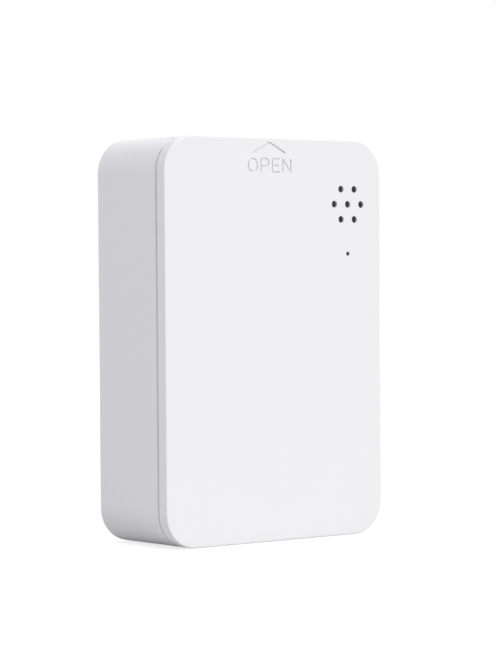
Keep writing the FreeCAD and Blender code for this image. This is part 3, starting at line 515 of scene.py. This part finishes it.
@dataclass(frozen=True)
class Zoned(Finish):
    """Two finishes on one piece, split by how far a point lies from a plane.

    Where pitch is given, the split repeats with it along the axis.
    """

    inner: Finish | None = None
    outer: Finish | None = None
    axis: Axis = Axis.ACROSS
    middle: float = 0.0
    half: float = 0.0
    pitch: float = 0.0

    def surface(self, tree: ShaderTree) -> Parts:
        """Build both finishes, mixed by the split where they differ.

        Args:
            tree: the material's node tree.

        Returns:
            What the shader takes.
        """
        parts = tree.add("SeparateXYZ", {0: self.spots(tree)}).outputs
        offset = tree.add("Math", {"operation": "SUBTRACT", 0: parts[self.axis.value], 1: self.middle})
        if self.pitch:
            half = self.pitch / 2
            offset = tree.add("Math", {"operation": "WRAP", 0: offset, 1: half, 2: -half})
        reach = tree.add("Math", {"operation": "ABSOLUTE", 0: offset})
        beyond = tree.add("Math", {"operation": "GREATER_THAN", 0: reach, 1: self.half})
        first, second = self.inner.surface(tree), self.outer.surface(tree)
        for name in [name for name in first if first[name] != second[name]]:
            kind, one, two, out = "FLOAT", NUMBER_ONE, NUMBER_TWO, NUMBER_OUT
            if name == "Base Color":
                kind, one, two, out = "RGBA", COLOUR_ONE, COLOUR_TWO, COLOUR_OUT
            mix = tree.add("Mix", {"data_type": kind, 0: beyond, one: first[name], two: second[name]})
            first[name] = mix.outputs[out]
        return first


@dataclass(frozen=True)
class PrintedFilm(Finish):
    """Shrunk printed film round a power cell; its UV map runs round and along the cell."""

    band_tint: str = "2E8C8F"
    line_tint: str = "F2F2F0"
    band_low: float = 31.5 * MM
    band_high: float = 43.0 * MM
    line_half: float = 0.22 * MM
    mark_run: float = 37.5 * MM
    mark_half: float = 1.7 * MM
    mark_stroke: float = 0.33 * MM
    girth: float = 33.0 * MM

    def surface(self, tree: ShaderTree) -> Parts:
        """Build the film: a plain body, a band at the positive end, two lines and a plus.

        Args:
            tree: the material's node tree.

        Returns:
            What the shader takes.
        """
        uv_map = tree.add("UVMap", {"uv_map": "around"})
        around, along, _ = tree.add("SeparateXYZ", {0: uv_map}).outputs
        unrolled = tree.add("Math", {"operation": "MULTIPLY", 0: around, 1: self.girth})
        # Each print is a rectangle: its tint, its half width about the film's middle, and where
        # along the cell its middle lies and how far it reaches.
        prints = (
            (self.band_tint, self.girth, (self.band_low + self.band_high) / 2,
             (self.band_high - self.band_low) / 2),
            (self.line_tint, self.girth, self.band_low, self.line_half),
            (self.line_tint, self.girth, self.band_high, self.line_half),
            (self.line_tint, self.mark_stroke, self.mark_run, self.mark_half),
            (self.line_tint, self.mark_half, self.mark_run, self.mark_stroke),
        )
        parts = super().surface(tree)
        for tint, width_half, run, run_half in prints:
            wide = tree.add("Math", {"operation": "COMPARE", 0: unrolled, 1: self.girth / 2, 2: width_half})
            long = tree.add("Math", {"operation": "COMPARE", 0: along, 1: run, 2: run_half})
            mask = tree.add("Math", {"operation": "MULTIPLY", 0: wide, 1: long})
            mix = tree.add("Mix", {
                "data_type": "RGBA", 0: mask, COLOUR_ONE: parts["Base Color"], COLOUR_TWO: linear(tint)})
            parts["Base Color"] = mix.outputs[COLOUR_OUT]
        return parts


# ABS from a spark-eroded mould: an even satin that takes no sharp reflection. The
# grain is drawn at 0.35 mm, about three times its real size, so that it can show.
CASE_ABS = Finish("satin_moulded_abs_case", "ECEBEE", roughness=0.68, ior=1.46, grain_mm=0.35,
                  relief_mm=0.0022, drift=0.012)
COVER_ABS = Finish("satin_moulded_abs_cover", "ECEBED", roughness=0.66, ior=1.46, grain_mm=0.35,
                   relief_mm=0.002, drift=0.01)
# Painted shade: a dull dark grey felt disc behind the sounder holes stands for the shade inside them, so
# that all the holes look dark and alike.
HOLE_SHADE_FELT = Finish("painted_hole_shade_felt", "333336", roughness=0.95, grain_mm=0.18, relief_mm=0.012, drift=0.1)
# Dark grey ABS from a plain mould: a little glossier than the outside.
CHASSIS_ABS = Finish("plain_moulded_abs_chassis_dark", "48494C", roughness=0.36, ior=1.54, grain_mm=0.6,
                     relief_mm=0.003, drift=0.02)
# Pale grey ABS, polished a little by the finger.
BUTTON_ABS = Finish("moulded_abs_button_grey", "B9BEC6", roughness=0.4, ior=1.54, relief_mm=0.003,
                    drift=0.02)
# Zinc-plated steel wire, rolled and headed: bright, with a bluish cast.
SCREW_ZINC = DrawnMetal("zinc_plated_steel_screw", "C9CDD2", roughness=0.3, along=Axis.DEPTH, drift=0.06)
# Nickel-plated strip, wire and can: warm and bright, with drawing lines.
STRIP_NICKEL = DrawnMetal("nickel_plated_steel_strip", "D9D3C6", roughness=0.24, along=Axis.ACROSS,
                          relief_mm=0.003, drift=0.05)
WIRE_NICKEL = DrawnMetal("nickel_plated_spring_wire", "D4CFC4", roughness=0.22, along=Axis.ACROSS,
                         relief_mm=0.002, drift=0.05)
CELL_STEEL = DrawnMetal("nickel_plated_cell_can", "D2D0CB", roughness=0.26, relief_mm=0.003, drift=0.05)
# Nylon washer round the nub: dull and dark.
CELL_RING = Finish("nylon_cell_insulator", "3A3D42", roughness=0.55, grain_mm=0.4, relief_mm=0.01)
# PVC film, shrunk on: smooth and glossy, with the slight waves of shrinking.
CELL_FILM = PrintedFilm("printed_pvc_film_cell", "8E969E", roughness=0.27, ior=1.53, grain_mm=1.6,
                        relief_mm=0.006)
# FR4 laminate: glossy solder mask, with the glass weave just felt in it.
BOARD_FR4 = GlassLaminate("fr4_laminate_green_mask", "14592F", roughness=0.3, relief_mm=0.006)
MODULE_FR4 = GlassLaminate("fr4_laminate_blue_mask", "16304F", roughness=0.28, track_tint="244A73",
                           relief_mm=0.005)
# Dipped and flashed copper: tin is a soft grey mirror, gold a warm one.
TIN = DrawnMetal("tinned_copper_leg", "D0D0CE", roughness=0.32, along=Axis.ACROSS)
GOLD = DrawnMetal("gold_flashed_copper_pad", "D8B25C", roughness=0.28, relief_mm=0.003)
# Tinplate, folded from a rolled sheet: coarse rolling lines.
SHIELD_TIN = DrawnMetal("tinplate_shield_can", "CFD0D0", roughness=0.34, line_mm=0.2, relief_mm=0.005,
                        drift=0.08)
# Epoxy filled with quartz: black and matt, with a sandy grain.
EPOXY = Finish("moulded_epoxy_package", "26272A", roughness=0.62, ior=1.55, grain_mm=0.12, relief_mm=0.006)
# Aluminium, deep-drawn: bright, with lines along the can.
CAN_ALUMINIUM = DrawnMetal("drawn_aluminium_capacitor_can", "D6D8DA", roughness=0.3, along=Axis.DEPTH,
                           relief_mm=0.003, drift=0.04)
# PBT, filled with glass: black and half dull; the sounder's case is duller and a shade lighter.
BLACK_PLASTIC = Finish("moulded_black_pbt", "1F2022", roughness=0.48, grain_mm=0.25, relief_mm=0.006)
SOUNDER_PBT = Finish("moulded_black_pbt_sounder", "3A3B3E", roughness=0.55, grain_mm=0.25, relief_mm=0.006)
# Fired ceramic: brown and matt.
CERAMIC = Finish("fired_ceramic_chip_part", "8A6B4C", roughness=0.55, grain_mm=0.15)
# White PPA below cast epoxy: a chalky base, and a glossy amber lens.
LIGHT_BASE = Finish("moulded_white_ppa_light_base", "EDEBE2")
LIGHT_LENS = Finish("cast_amber_epoxy_lens", "E8C65A", roughness=0.18, ior=1.53, grain_mm=0.4,
                    relief_mm=0.002)
# Acrylic, polished: clear as water.
CLEAR_ACRYLIC = Finish("polished_clear_acrylic_pipe", "F4F8FA", roughness=0.06, ior=1.49, transmission=1.0,
                       grain_mm=1.0, relief_mm=0.001, drift=0.01)
# Nitrile rubber: black, and duller than any of the plastics.
SEAL_RUBBER = Finish("moulded_nitrile_rubber_seal", "1B1B1C", roughness=0.78, ior=1.52, grain_mm=0.2,
                     relief_mm=0.01)
# Brass, turned from drawn rod: warm yellow.
BRASS = DrawnMetal("turned_brass_standoff", "C8A45A", roughness=0.3, along=Axis.DEPTH)


# The part's own pieces


@dataclass
class Piece:
    """A finished piece and how the frame takes it."""

    made: Object
    body: Body
    slot: str
    stands_for: tuple[str, ...] = ()

    def hand_over(self) -> None:
        """Ride on the body and hide the nodes that the piece stands for."""
        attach(self.made, self.body.value)
        if self.stands_for:
            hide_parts(*self.stands_for)
        log.info("%s: %d faces, rides on %s", self.made.name, len(self.made.data.polygons), self.body.value)


@dataclass
class FrontCover:
    """The slide-off cover, with an arrow and the word OPEN sunk in at its top edge."""

    stroke: float = 0.24 * MM
    depth: float = 0.22 * MM
    draft: float = 0.2
    middle_across: float = -1.2 * MM
    letter_height: float = 2.2 * MM
    letter_drop: float = 5.7 * MM
    letter_widths: tuple[float, ...] = (1.99 * MM, 1.68 * MM, 1.5 * MM, 1.76 * MM)
    letter_gap: float = 0.76 * MM
    letter_weight: float = 0.88
    bowl_foot: float = 0.44
    short_bar: float = 0.88
    arrow_drop: float = 0.76 * MM
    arrow_half: float = 3.38 * MM
    arrow_rise: float = 1.7 * MM
    arrow_weight: float = 1.2
    arc_steps: int = 20
    seam: float = 0.0005 * MM
    flat_pull: int = 100

    def angles(self, start: float, end: float) -> list[float]:
        """Return even steps from one angle to another."""
        return [start + (end - start) * step / self.arc_steps for step in range(self.arc_steps + 1)]

    def letters(self) -> list[list[Point]]:
        """Draw the word OPEN.

        Returns:
            Each stroke as points across and up.
        """
        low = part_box("front_cover")[1].z - self.letter_drop
        high = low + self.letter_height
        middle = (low + high) / 2
        steps = [width + self.letter_gap for width in self.letter_widths]
        first_left = self.middle_across - (sum(steps) - self.letter_gap) / 2
        o_left, p_left, e_left, n_left = accumulate(steps[:-1], initial=first_left)
        o_half = self.letter_widths[0] / 2
        p_right, e_right, n_right = (
            left + width for left, width in zip((p_left, e_left, n_left), self.letter_widths[1:]))
        bowl_low = low + self.letter_height * self.bowl_foot
        bowl = (high - bowl_low) / 2
        return [
            arc((o_left + o_half, middle), (o_half, self.letter_height / 2), self.angles(0, 360)),
            [(p_left, low), (p_left, high)],
            [(p_left, high), *arc((p_right - bowl, high - bowl), (bowl, bowl), self.angles(90, -90)),
             (p_left, bowl_low)],
            [(e_left, low), (e_left, high)],
            [(e_left, high), (e_right, high)],
            [(e_left, middle), (e_left + (e_right - e_left) * self.short_bar, middle)],
            [(e_left, low), (e_right, low)],
            [(n_left, low), (n_left, high)],
            [(n_left, high), (n_right, low)],
            [(n_right, low), (n_right, high)],
        ]

    def arrow(self) -> list[list[Point]]:
        """Draw the arrow head above the word.

        Returns:
            Its two strokes.
        """
        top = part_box("front_cover")[1].z - self.arrow_drop
        tip, foot = (self.middle_across, top), top - self.arrow_rise
        return [[(tip[0] - self.arrow_half, foot), tip], [tip, (tip[0] + self.arrow_half, foot)]]

    def cutter(self, finish: Material) -> Object:
        """Sweep a section that narrows inwards along every stroke.

        Args:
            finish: the material of the cut faces.

        Returns:
            The solid strokes that the mark is sunk with.
        """
        paths = bpy.data.curves.new("opening_mark_paths", "CURVE")
        paths.dimensions = "3D"
        weighted = [(self.letter_weight, points) for points in self.letters()]
        weighted += [(self.arrow_weight, points) for points in self.arrow()]
        for weight, points in weighted:
            spline = paths.splines.new("POLY")
            spline.use_cyclic_u = math.dist(points[0], points[-1]) < self.seam
            kept = points[:-1] if spline.use_cyclic_u else points
            spline.points.add(len(kept) - 1)
            for spot, (across, up) in zip(spline.points, kept):
                spot.co = (across, up, 0.0, 1.0)
                spot.radius = weight
        carrier = new_object("opening_mark_cutter", paths)
        recipe = NodeRecipe("SunkStrokes", {
            "Section Height": 2 * self.depth,
            "Bottom Width": self.stroke * (1 - self.draft),
            "Top Width": self.stroke * (1 + self.draft),
            "Front": (0.0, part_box("front_cover")[0].y, 0.0),
        }, finish)
        upright = recipe.add("SetCurveNormal", {"mode": "Z_UP", "Curve": recipe.given["Geometry"]})
        section = recipe.add("CurvePrimitiveQuadrilateral", {
            "mode": "TRAPEZOID", "Offset": 0.0, "Height": recipe.given["Section Height"],
            "Bottom Width": recipe.given["Bottom Width"], "Top Width": recipe.given["Top Width"]})
        swept = recipe.add("CurveToMesh", {
            "Fill Caps": True, "Curve": upright, "Profile Curve": section,
            "Scale": recipe.add("InputRadius")})
        stood = recipe.add("Transform", {
            "Rotation": QUARTER_TURN, "Geometry": swept, "Translation": recipe.given["Front"]})
        return recipe.run(stood, carrier, "opening_mark_cutter")

    def build(self) -> list[Piece]:
        """Cut the mark into the cover.

        Returns:
            The cover, in the place of its CAD node.
        """
        finish = COVER_ABS.make()
        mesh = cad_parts["front_cover"].data.copy()
        mesh.materials.clear()
        mesh.materials.append(finish)
        with edited(mesh) as shape:
            bmesh.ops.remove_doubles(shape, verts=shape.verts, dist=self.seam)
        if mesh.attributes.get("custom_normal"):
            mesh.attributes.remove(mesh.attributes["custom_normal"])
        plain = new_object("cover_blank", mesh)
        cutter = self.cutter(finish)
        cut = plain.modifiers.new("mark", "BOOLEAN")
        cut.operation = "DIFFERENCE"
        cut.solver = "EXACT"
        cut.use_self = True
        cut.object = cutter
        marked = plain_copy(plain, "front_cover_marked")
        bpy.data.objects.remove(cutter)
        shade_by_angle(marked.data)
        normals = marked.modifiers.new("weighted_normals", "WEIGHTED_NORMAL")
        normals.keep_sharp = True
        normals.weight = self.flat_pull
        finished = plain_copy(marked, "front_cover_marked")
        return [Piece(finished, Body.COVER, "white_cover_plastic", ("front_cover",))]


@dataclass
class SounderShadeDisc:
    """A dark felt disc in the cover's collar, close behind the sounder holes: painted shade that darkens
    the holes.
    """

    reach: float = 3.7 * MM
    thickness: float = 0.25 * MM
    edge: float = 0.04 * MM
    web: float = 0.35 * MM
    glue: float = 0.01 * MM
    segments: int = 48

    def build(self) -> list[Piece]:
        """Turn the disc and lay it behind the web of the grille.

        Returns:
            The disc, which rides on the cover.
        """
        place = middle_of("sounder_case")
        place.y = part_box("front_cover")[0].y + self.web + self.glue
        inner, rear = self.reach - self.edge, self.thickness - self.edge
        mesh = lathe([(0.0, 0.0), (inner, 0.0), (self.reach, self.edge), (self.reach, rear),
                      (inner, self.thickness), (0.0, self.thickness)], self.segments)
        mesh.transform(Matrix.Translation(place) @ Matrix.Rotation(-math.pi / 2, 4, "X"))
        # Painted shade: the dark felt stands for the shade inside the sounder holes.
        mesh.materials.append(HOLE_SHADE_FELT.make())
        shade_by_angle(mesh)
        return [Piece(new_object("sounder_painted_shade_disc", mesh), Body.COVER, "sounder_plastic")]


@dataclass
class PowerCells:
    """The two AAA cells: a steel can in a printed film, with a nub at one end."""

    segments: int = 64
    edge: float = 0.6 * MM
    edge_angles: tuple[int, ...] = (0, 30, 60)
    film: float = 0.12 * MM
    film_lap: float = 0.9 * MM
    nub_reach: float = 1.9 * MM
    nub_height: float = 1.0 * MM
    nub_edge: float = 0.3 * MM
    nub_angles: tuple[int, ...] = (0, 30, 60, 90)
    ring_reach: float = 3.1 * MM
    ring_sink: float = 0.25 * MM
    round_turn: float = 40.0

    def profile(self, reach: float, length: float) -> tuple[list[Point], list[int]]:
        """Draw the cell's half outline, from the flat end to the nub.

        Args:
            reach: the cell's radius.
            length: its length over the nub.

        Returns:
            The points, and the zone of each stretch between two of them.
        """
        shoulder = length - self.nub_height
        lap, ring_low = reach - self.film_lap, shoulder - self.ring_sink
        rounding = (self.edge, self.edge)
        stretches = (
            (CellZone.STEEL, [(0.0, self.film), (lap - self.film, self.film)]),
            (CellZone.FILM, [
                (lap, 0.0),
                *arc((reach - self.edge, self.edge), rounding, [-a for a in reversed(self.edge_angles)]),
                *arc((reach - self.edge, shoulder - self.edge), rounding, self.edge_angles),
                (lap, shoulder),
            ]),
            (CellZone.STEEL, [(lap - self.film, shoulder - self.film)]),
            (CellZone.RING, [(self.ring_reach, shoulder - self.film),
                             (self.ring_reach - self.film, ring_low)]),
            (CellZone.STEEL, [
                (self.nub_reach, ring_low),
                *arc((self.nub_reach - self.nub_edge, length - self.nub_edge),
                     (self.nub_edge, self.nub_edge), self.nub_angles),
                (0.0, length),
            ]),
        )
        outline = [point for _, points in stretches for point in points]
        return outline, [zone for zone, points in stretches for _ in points][1:]

    def build(self) -> list[Piece]:
        """Turn both cells, the right one upside down.

        Returns:
            The cells, each in the place of its CAD node.
        """
        pieces = []
        for node, turn in (("aaa_cell_left", 0.0), ("aaa_cell_right", math.pi)):
            low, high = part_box(node)
            outline, zones = self.profile((high.x - low.x) / 2, high.z - low.z)
            mesh = lathe(outline, self.segments, zones)
            for finish in (CELL_STEEL, CELL_FILM, CELL_RING):
                mesh.materials.append(finish.make())
            foot = middle_of(node)
            foot.z = high.z if turn else low.z
            mesh.transform(Matrix.Translation(foot) @ Matrix.Rotation(turn, 4, "Y"))
            made = new_object(f"{node}_jacketed", mesh)
            shade_by_angle(mesh, self.round_turn)
            pieces.append(Piece(made, Body.CASE, "cell_jacket", (node,)))
        return pieces


@dataclass
class ChassisScrews:
    """Four self-tapping screws: a domed head with a cross recess, and a coarse thread."""

    head: float = 3.8 * MM
    head_height: float = 1.3 * MM
    rim_share: float = 0.35
    chamfer: float = 0.1 * MM
    dome_angles: tuple[int, ...] = (0, 22, 45, 68)
    core: float = 1.25 * MM
    crest: float = 1.7 * MM
    point_shares: tuple[Point, ...] = ((0.0, 0.0), (0.45, 0.4), (1.0, 2.0))
    thread_pitch: float = 0.75 * MM
    thread_steps: int = 24
    tooth_sides: int = 4
    recess_width: float = 2.0 * MM
    recess_stroke: float = 0.42 * MM
    recess_depth: float = 0.75 * MM
    segments: int = 36
    round_turn: float = 35.0

    def profile(self, length: float) -> list[Point]:
        """Draw the screw's half outline.

        Args:
            length: from the point to the foot of the head.

        Returns:
            The outline, from the point to the top of the head.
        """
        radius, tip = self.head / 2, self.core / 2
        rim = self.head_height * self.rim_share
        return [
            *((tip * across, tip * up) for across, up in self.point_shares),
            (tip, length), (radius - self.chamfer, length), (radius, length + self.chamfer),
            *arc((0.0, length + rim), (radius, self.head_height - rim), self.dome_angles),
            (0.0, length + self.head_height),
        ]

    def build(self) -> list[Piece]:
        """Thread and recess one screw, and place it four times.

        Returns:
            The four screws as one piece, in the place of their CAD node.
        """
        low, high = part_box("chassis_screws")
        length = high.y - low.y - self.head_height
        carrier = new_object("screw_blank", lathe(self.profile(length), self.segments))
        run = length - 2 * self.thread_pitch
        thread_radius = (self.crest + self.core) / 4
        recess = (self.recess_width, self.recess_stroke, 2 * self.recess_depth)
        recipe = NodeRecipe("ThreadedScrews", {
            "Spacing Across": high.x - low.x - self.head,
            "Spacing Up": high.z - low.z - self.head,
            "Points At": (0.0, high.y, (high.z + low.z) / 2),
            "Thread Turns": run / self.thread_pitch,
            "Thread Run": run,
            "Thread Radius": thread_radius,
            "Thread Tooth": self.crest / 2 - thread_radius,
            "Thread From": (0.0, 0.0, self.thread_pitch),
            "Recess Level": recess,
            "Recess Upright": (recess[1], recess[0], recess[2]),
            "Head Top": (0.0, 0.0, length + self.head_height),
        }, SCREW_ZINC.make())
        given = recipe.given
        helix = recipe.add("CurveSpiral", {
            "Resolution": self.thread_steps, "Rotations": given["Thread Turns"],
            "Start Radius": given["Thread Radius"], "End Radius": given["Thread Radius"],
            "Height": given["Thread Run"]})
        tooth = recipe.add("CurvePrimitiveCircle", {
            "Resolution": self.tooth_sides, "Radius": given["Thread Tooth"]})
        thread = recipe.add("CurveToMesh", {"Fill Caps": True, "Curve": helix, "Profile Curve": tooth})
        lifted = recipe.add("Transform", {"Geometry": thread, "Translation": given["Thread From"]})
        slots = [recipe.add("MeshCube", {"Size": given[label]})
                 for label in ("Recess Level", "Recess Upright")]
        cross = recipe.add("JoinGeometry", {"Geometry": slots})
        raised = recipe.add("Transform", {"Geometry": cross, "Translation": given["Head Top"]})
        headed = recipe.add("MeshBoolean", {
            "operation": "DIFFERENCE", "solver": "EXACT", "Self Intersection": True,
            "Mesh 1": given["Geometry"], "Mesh 2": raised})
        whole = recipe.add("JoinGeometry", {"Geometry": [headed, lifted]})
        grid = recipe.add("MeshGrid", {
            "Vertices X": 2, "Vertices Y": 2, "Size X": given["Spacing Across"],
            "Size Y": given["Spacing Up"]})
        stood = recipe.add("Transform", {
            "Rotation": QUARTER_TURN, "Geometry": grid, "Translation": given["Points At"]})
        placed = recipe.add("InstanceOnPoints", {
            "Rotation": QUARTER_TURN, "Points": stood, "Instance": whole})
        made = recipe.run(placed, carrier, "chassis_screws_threaded")
        shade_by_angle(made.data, self.round_turn)
        return [Piece(made, Body.CASE, "screw_steel", ("chassis_screws",))]


@dataclass
class PolarityMarks:
    """Raised plus and minus signs on the deck, above and below each cell."""

    bar: float = 1.7 * MM
    stroke: float = 0.38 * MM
    height: float = 0.18 * MM
    aside: float = 2.6 * MM

    def build(self) -> list[Piece]:
        """Place the signs on the case's deck.

        Returns:
            The signs as one piece.
        """
        low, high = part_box("chassis_screws")
        deck = low.y + ChassisScrews.head_height
        middle, rise = (low.z + high.z) / 2, (high.z - low.z - ChassisScrews.head) / 2
        points, is_plus = [], []
        for node, plus_on_top in (("aaa_cell_left", True), ("aaa_cell_right", False)):
            across = middle_of(node).x - (self.aside if plus_on_top else 0.0)
            points += [(across, deck, middle + rise), (across, deck, middle - rise)]
            is_plus += [plus_on_top, not plus_on_top]
        mesh = bpy.data.meshes.new("polarity_places")
        mesh.from_pydata(points, [], [])
        mesh.attributes.new("plus", "BOOLEAN", "POINT").data.foreach_set("value", is_plus)
        carrier = new_object("polarity_places", mesh)
        recipe = NodeRecipe("PolaritySigns", {
            "Level Bar": (self.bar, 2 * self.height, self.stroke),
            "Upright Bar": (self.stroke, 2 * self.height, self.bar),
        }, CHASSIS_ABS.make())
        plus = recipe.add("InputNamedAttribute", {"data_type": "BOOLEAN", "Name": "plus"})
        bars = []
        for label, chosen in (("Level Bar", True), ("Upright Bar", plus)):
            bar = recipe.add("MeshCube", {"Size": recipe.given[label]})
            placed = recipe.add("InstanceOnPoints", {
                "Points": recipe.given["Geometry"], "Instance": bar, "Selection": chosen})
            bars.append(recipe.add("RealizeInstances", {"Geometry": placed}))
        joined = recipe.add("MeshBoolean", {"operation": "UNION", "solver": "EXACT", "Mesh 2": bars})
        made = recipe.run(joined, carrier, "polarity_signs")
        return [Piece(made, Body.CASE, "chassis_plastic")]


@dataclass
class CadFinishes:
    """The finishes of the CAD nodes whose own shape is shown, and where the two-part ones split."""

    stud_reach: float = 2.5 * MM
    module_half: float = 6.55 * MM
    chip_half: float = 1.96 * MM
    can_depth: float = 4.39 * MM
    bare_half: float = 0.5 * MM
    part_pitch: float = 2.1 * MM
    lens_ahead: float = 0.8 * MM
    lens_half: float = 0.4 * MM
    switch_half: float = 3.01 * MM

    def finishes(self) -> dict[str, Finish]:
        """Choose the finish of each node.

        Returns:
            The finishes, by the names of the nodes.
        """
        low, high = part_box("probe_studs")
        probes = TurnedMetal("turned_stainless_probe", "9C9EA2", roughness=0.3, relief_mm=0.002,
                             across=high.x - self.stud_reach, up=(high.z - low.z) / 2 - self.stud_reach,
                             middle=middle_of("probe_studs").z)
        strip_x = middle_of("switch_body").x
        return {
            "rear_housing": CASE_ABS,
            "battery_chassis": CHASSIS_ABS,
            "positive_contact": STRIP_NICKEL,
            "negative_contact": STRIP_NICKEL,
            "bridge_contact": STRIP_NICKEL,
            "bridge_spring": WIRE_NICKEL,
            "negative_spring": WIRE_NICKEL,
            "circuit_board": BOARD_FR4,
            "radio_module_board": Zoned("fr4_module_with_gold_pads", relief_mm=0.005, inner=MODULE_FR4,
                                        outer=GOLD, middle=strip_x, half=self.module_half),
            "radio_shield_can": SHIELD_TIN,
            "sense_chip": Zoned("epoxy_chip_with_tinned_legs", inner=EPOXY, outer=TIN,
                                middle=middle_of("sense_chip").x, half=self.chip_half),
            "storage_capacitor": Zoned("aluminium_can_on_black_foot", relief_mm=0.003, inner=CAN_ALUMINIUM,
                                       outer=BLACK_PLASTIC, axis=Axis.DEPTH,
                                       middle=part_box("storage_capacitor")[0].y, half=self.can_depth),
            "small_board_parts": Zoned("ceramic_parts_with_tinned_ends", inner=CERAMIC, outer=TIN,
                                       axis=Axis.UP, middle=middle_of("small_board_parts").z,
                                       half=self.bare_half, pitch=self.part_pitch),
            "sounder_case": SOUNDER_PBT,
            "sounder_pins": TIN,
            "status_light": Zoned("amber_lens_on_white_base", relief_mm=0.002, inner=LIGHT_LENS,
                                  outer=LIGHT_BASE, axis=Axis.DEPTH, half=self.lens_half,
                                  middle=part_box("circuit_board")[0].y - self.lens_ahead),
            "light_pipe": CLEAR_ACRYLIC,
            "switch_body": Zoned("black_switch_with_tinned_legs", inner=BLACK_PLASTIC, outer=TIN,
                                 middle=strip_x, half=self.switch_half),
            "switch_plunger": BLACK_PLASTIC,
            "pairing_button": BUTTON_ABS,
            "probe_studs": probes,
            "probe_seal_rings": SEAL_RUBBER,
            "probe_standoffs": BRASS,
        }

    def dress(self) -> None:
        """Give every shown CAD node its material."""
        for node, finish in self.finishes().items():
            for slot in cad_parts[node].material_slots:
                slot.material = finish.make()
            log.info("%s: %s", node, finish.name)


# Studio


@dataclass(frozen=True)
class Lamp:
    """A soft distant lamp: where it stands, how wide it looks and how much it lights.

    Azimuth 0 lights the front, and 90 the right side.
    """

    name: str
    azimuth: float
    elevation: float
    width: float
    light: float

    def build(self) -> None:
        """Put the lamp into the scene."""
        data = bpy.data.lights.new(self.name, "SUN")
        data.energy = self.light * math.pi
        data.angle = math.radians(self.width)
        lamp = new_object(self.name, data)
        around, above = math.radians(self.azimuth), math.radians(self.elevation)
        towards = Vector((math.sin(around) * math.cos(above), -math.cos(around) * math.cos(above),
                          math.sin(above)))
        lamp.rotation_mode = "QUATERNION"
        lamp.rotation_quaternion = towards.to_track_quat("Z", "Y")
        lamp.location = towards


@dataclass
class Studio:
    """A plain pale floor, a white surround, soft lamps and the camera."""

    lamps: tuple[Lamp, ...] = (
        Lamp("key", azimuth=28.0, elevation=35.0, width=25.0, light=0.49),
        Lamp("side", azimuth=-90.0, elevation=75.0, width=30.0, light=0.2),
        Lamp("back", azimuth=180.0, elevation=5.0, width=30.0, light=0.2),
    )
    ambient: float = 0.63
    ambient_tint: str = "FDFDFF"
    floor_radius: float = 6.0
    floor_sides: int = 64
    floor_drop: float = 0.1 * MM
    floor_light: float = 0.75
    floor_tint: str = "CFCFCF"
    seen_tint: str = "A8A8A8"
    eye: tuple[float, float, float] = (-0.27659, -0.34908, 0.04555)
    yaw: float = 38.556
    pitch: float = 1.335
    roll: float = -0.417
    focal_px: float = 2595.0
    frame_height_px: int = 664
    sight: Point = (0.01, 50.0)

    def seen_rays(self, tree: ShaderTree) -> Source:
        """Find the rays that show a thing to the camera, by sight, gloss or glass.

        Args:
            tree: the tree of a world or a material.

        Returns:
            1 for such a ray, else 0.
        """
        path = tree.add("LightPath").outputs
        total = path["Is Camera Ray"]
        for other in ("Is Glossy Ray", "Is Transmission Ray"):
            total = tree.add("Math", {"operation": "MAXIMUM", 0: total, 1: path[other]})
        return total

    def surround(self) -> None:
        """Light the scene evenly from all round, in front of a white surround."""
        world = bpy.data.worlds.new("white_surround")
        tree = ShaderTree(world)
        glow = tree.add("Background", {"Strength": self.ambient, "Color": linear(self.ambient_tint)})
        white = tree.add("Background", {"Strength": 1.0, "Color": linear("FFFFFF")})
        mixed = tree.add("MixShader", {0: self.seen_rays(tree), 1: glow, 2: white})
        tree.add("OutputWorld", {"Surface": mixed})
        bpy.context.scene.world = world

    def floor(self) -> None:
        """Lay the floor: white where it is seen, but for the shadow that it keeps."""
        mesh = bpy.data.meshes.new("floor")
        with edited(mesh) as shape:
            bmesh.ops.create_circle(
                shape, cap_ends=True, segments=self.floor_sides, radius=self.floor_radius,
                matrix=Matrix.Translation((0.0, 0.0, -self.floor_drop)))
        floor = new_object("floor", mesh)
        material = bpy.data.materials.new("matt_white_floor_paint")
        tree = ShaderTree(material)
        hidden = tree.add("BsdfDiffuse", {"Color": linear(self.floor_tint)})
        shown = tree.add("BsdfDiffuse", {"Color": linear(self.seen_tint)})
        glow = tree.add("Emission", {"Strength": self.floor_light})
        lit = tree.add("AddShader", {0: shown, 1: glow})
        mixed = tree.add("MixShader", {0: self.seen_rays(tree), 1: hidden, 2: lit})
        tree.add("OutputMaterial", {"Surface": mixed})
        mesh.materials.append(material)

    def camera(self) -> None:
        """Set the camera where the photograph was taken from."""
        data = bpy.data.cameras.new("camera")
        data.lens = self.focal_px / self.frame_height_px * data.sensor_width
        data.clip_start, data.clip_end = self.sight
        place = Matrix.Translation(self.eye)
        for turn, axis in ((-self.yaw, "Z"), (90 - self.pitch, "X"), (self.roll, "Z")):
            place @= Matrix.Rotation(math.radians(turn), 4, axis)
        camera = new_object("camera", data)
        camera.matrix_world = place
        bpy.context.scene.camera = camera

    def build(self) -> None:
        """Build the whole studio."""
        self.surround()
        self.floor()
        for lamp in self.lamps:
            lamp.build()
        self.camera()
        bpy.context.scene.view_settings.view_transform = "Standard"


def main() -> None:
    """Build the studio and every piece."""
    logging.basicConfig(level=logging.INFO, format="%(name)s: %(message)s")
    Studio().build()
    CadFinishes().dress()
    pieces = []
    for sub_assembly in (FrontCover(), SounderShadeDisc(), PowerCells(), ChassisScrews(), PolarityMarks()):
        pieces.extend(sub_assembly.build())
    for piece in pieces:
        piece.hand_over()


if __name__ == "__main__":
    main()
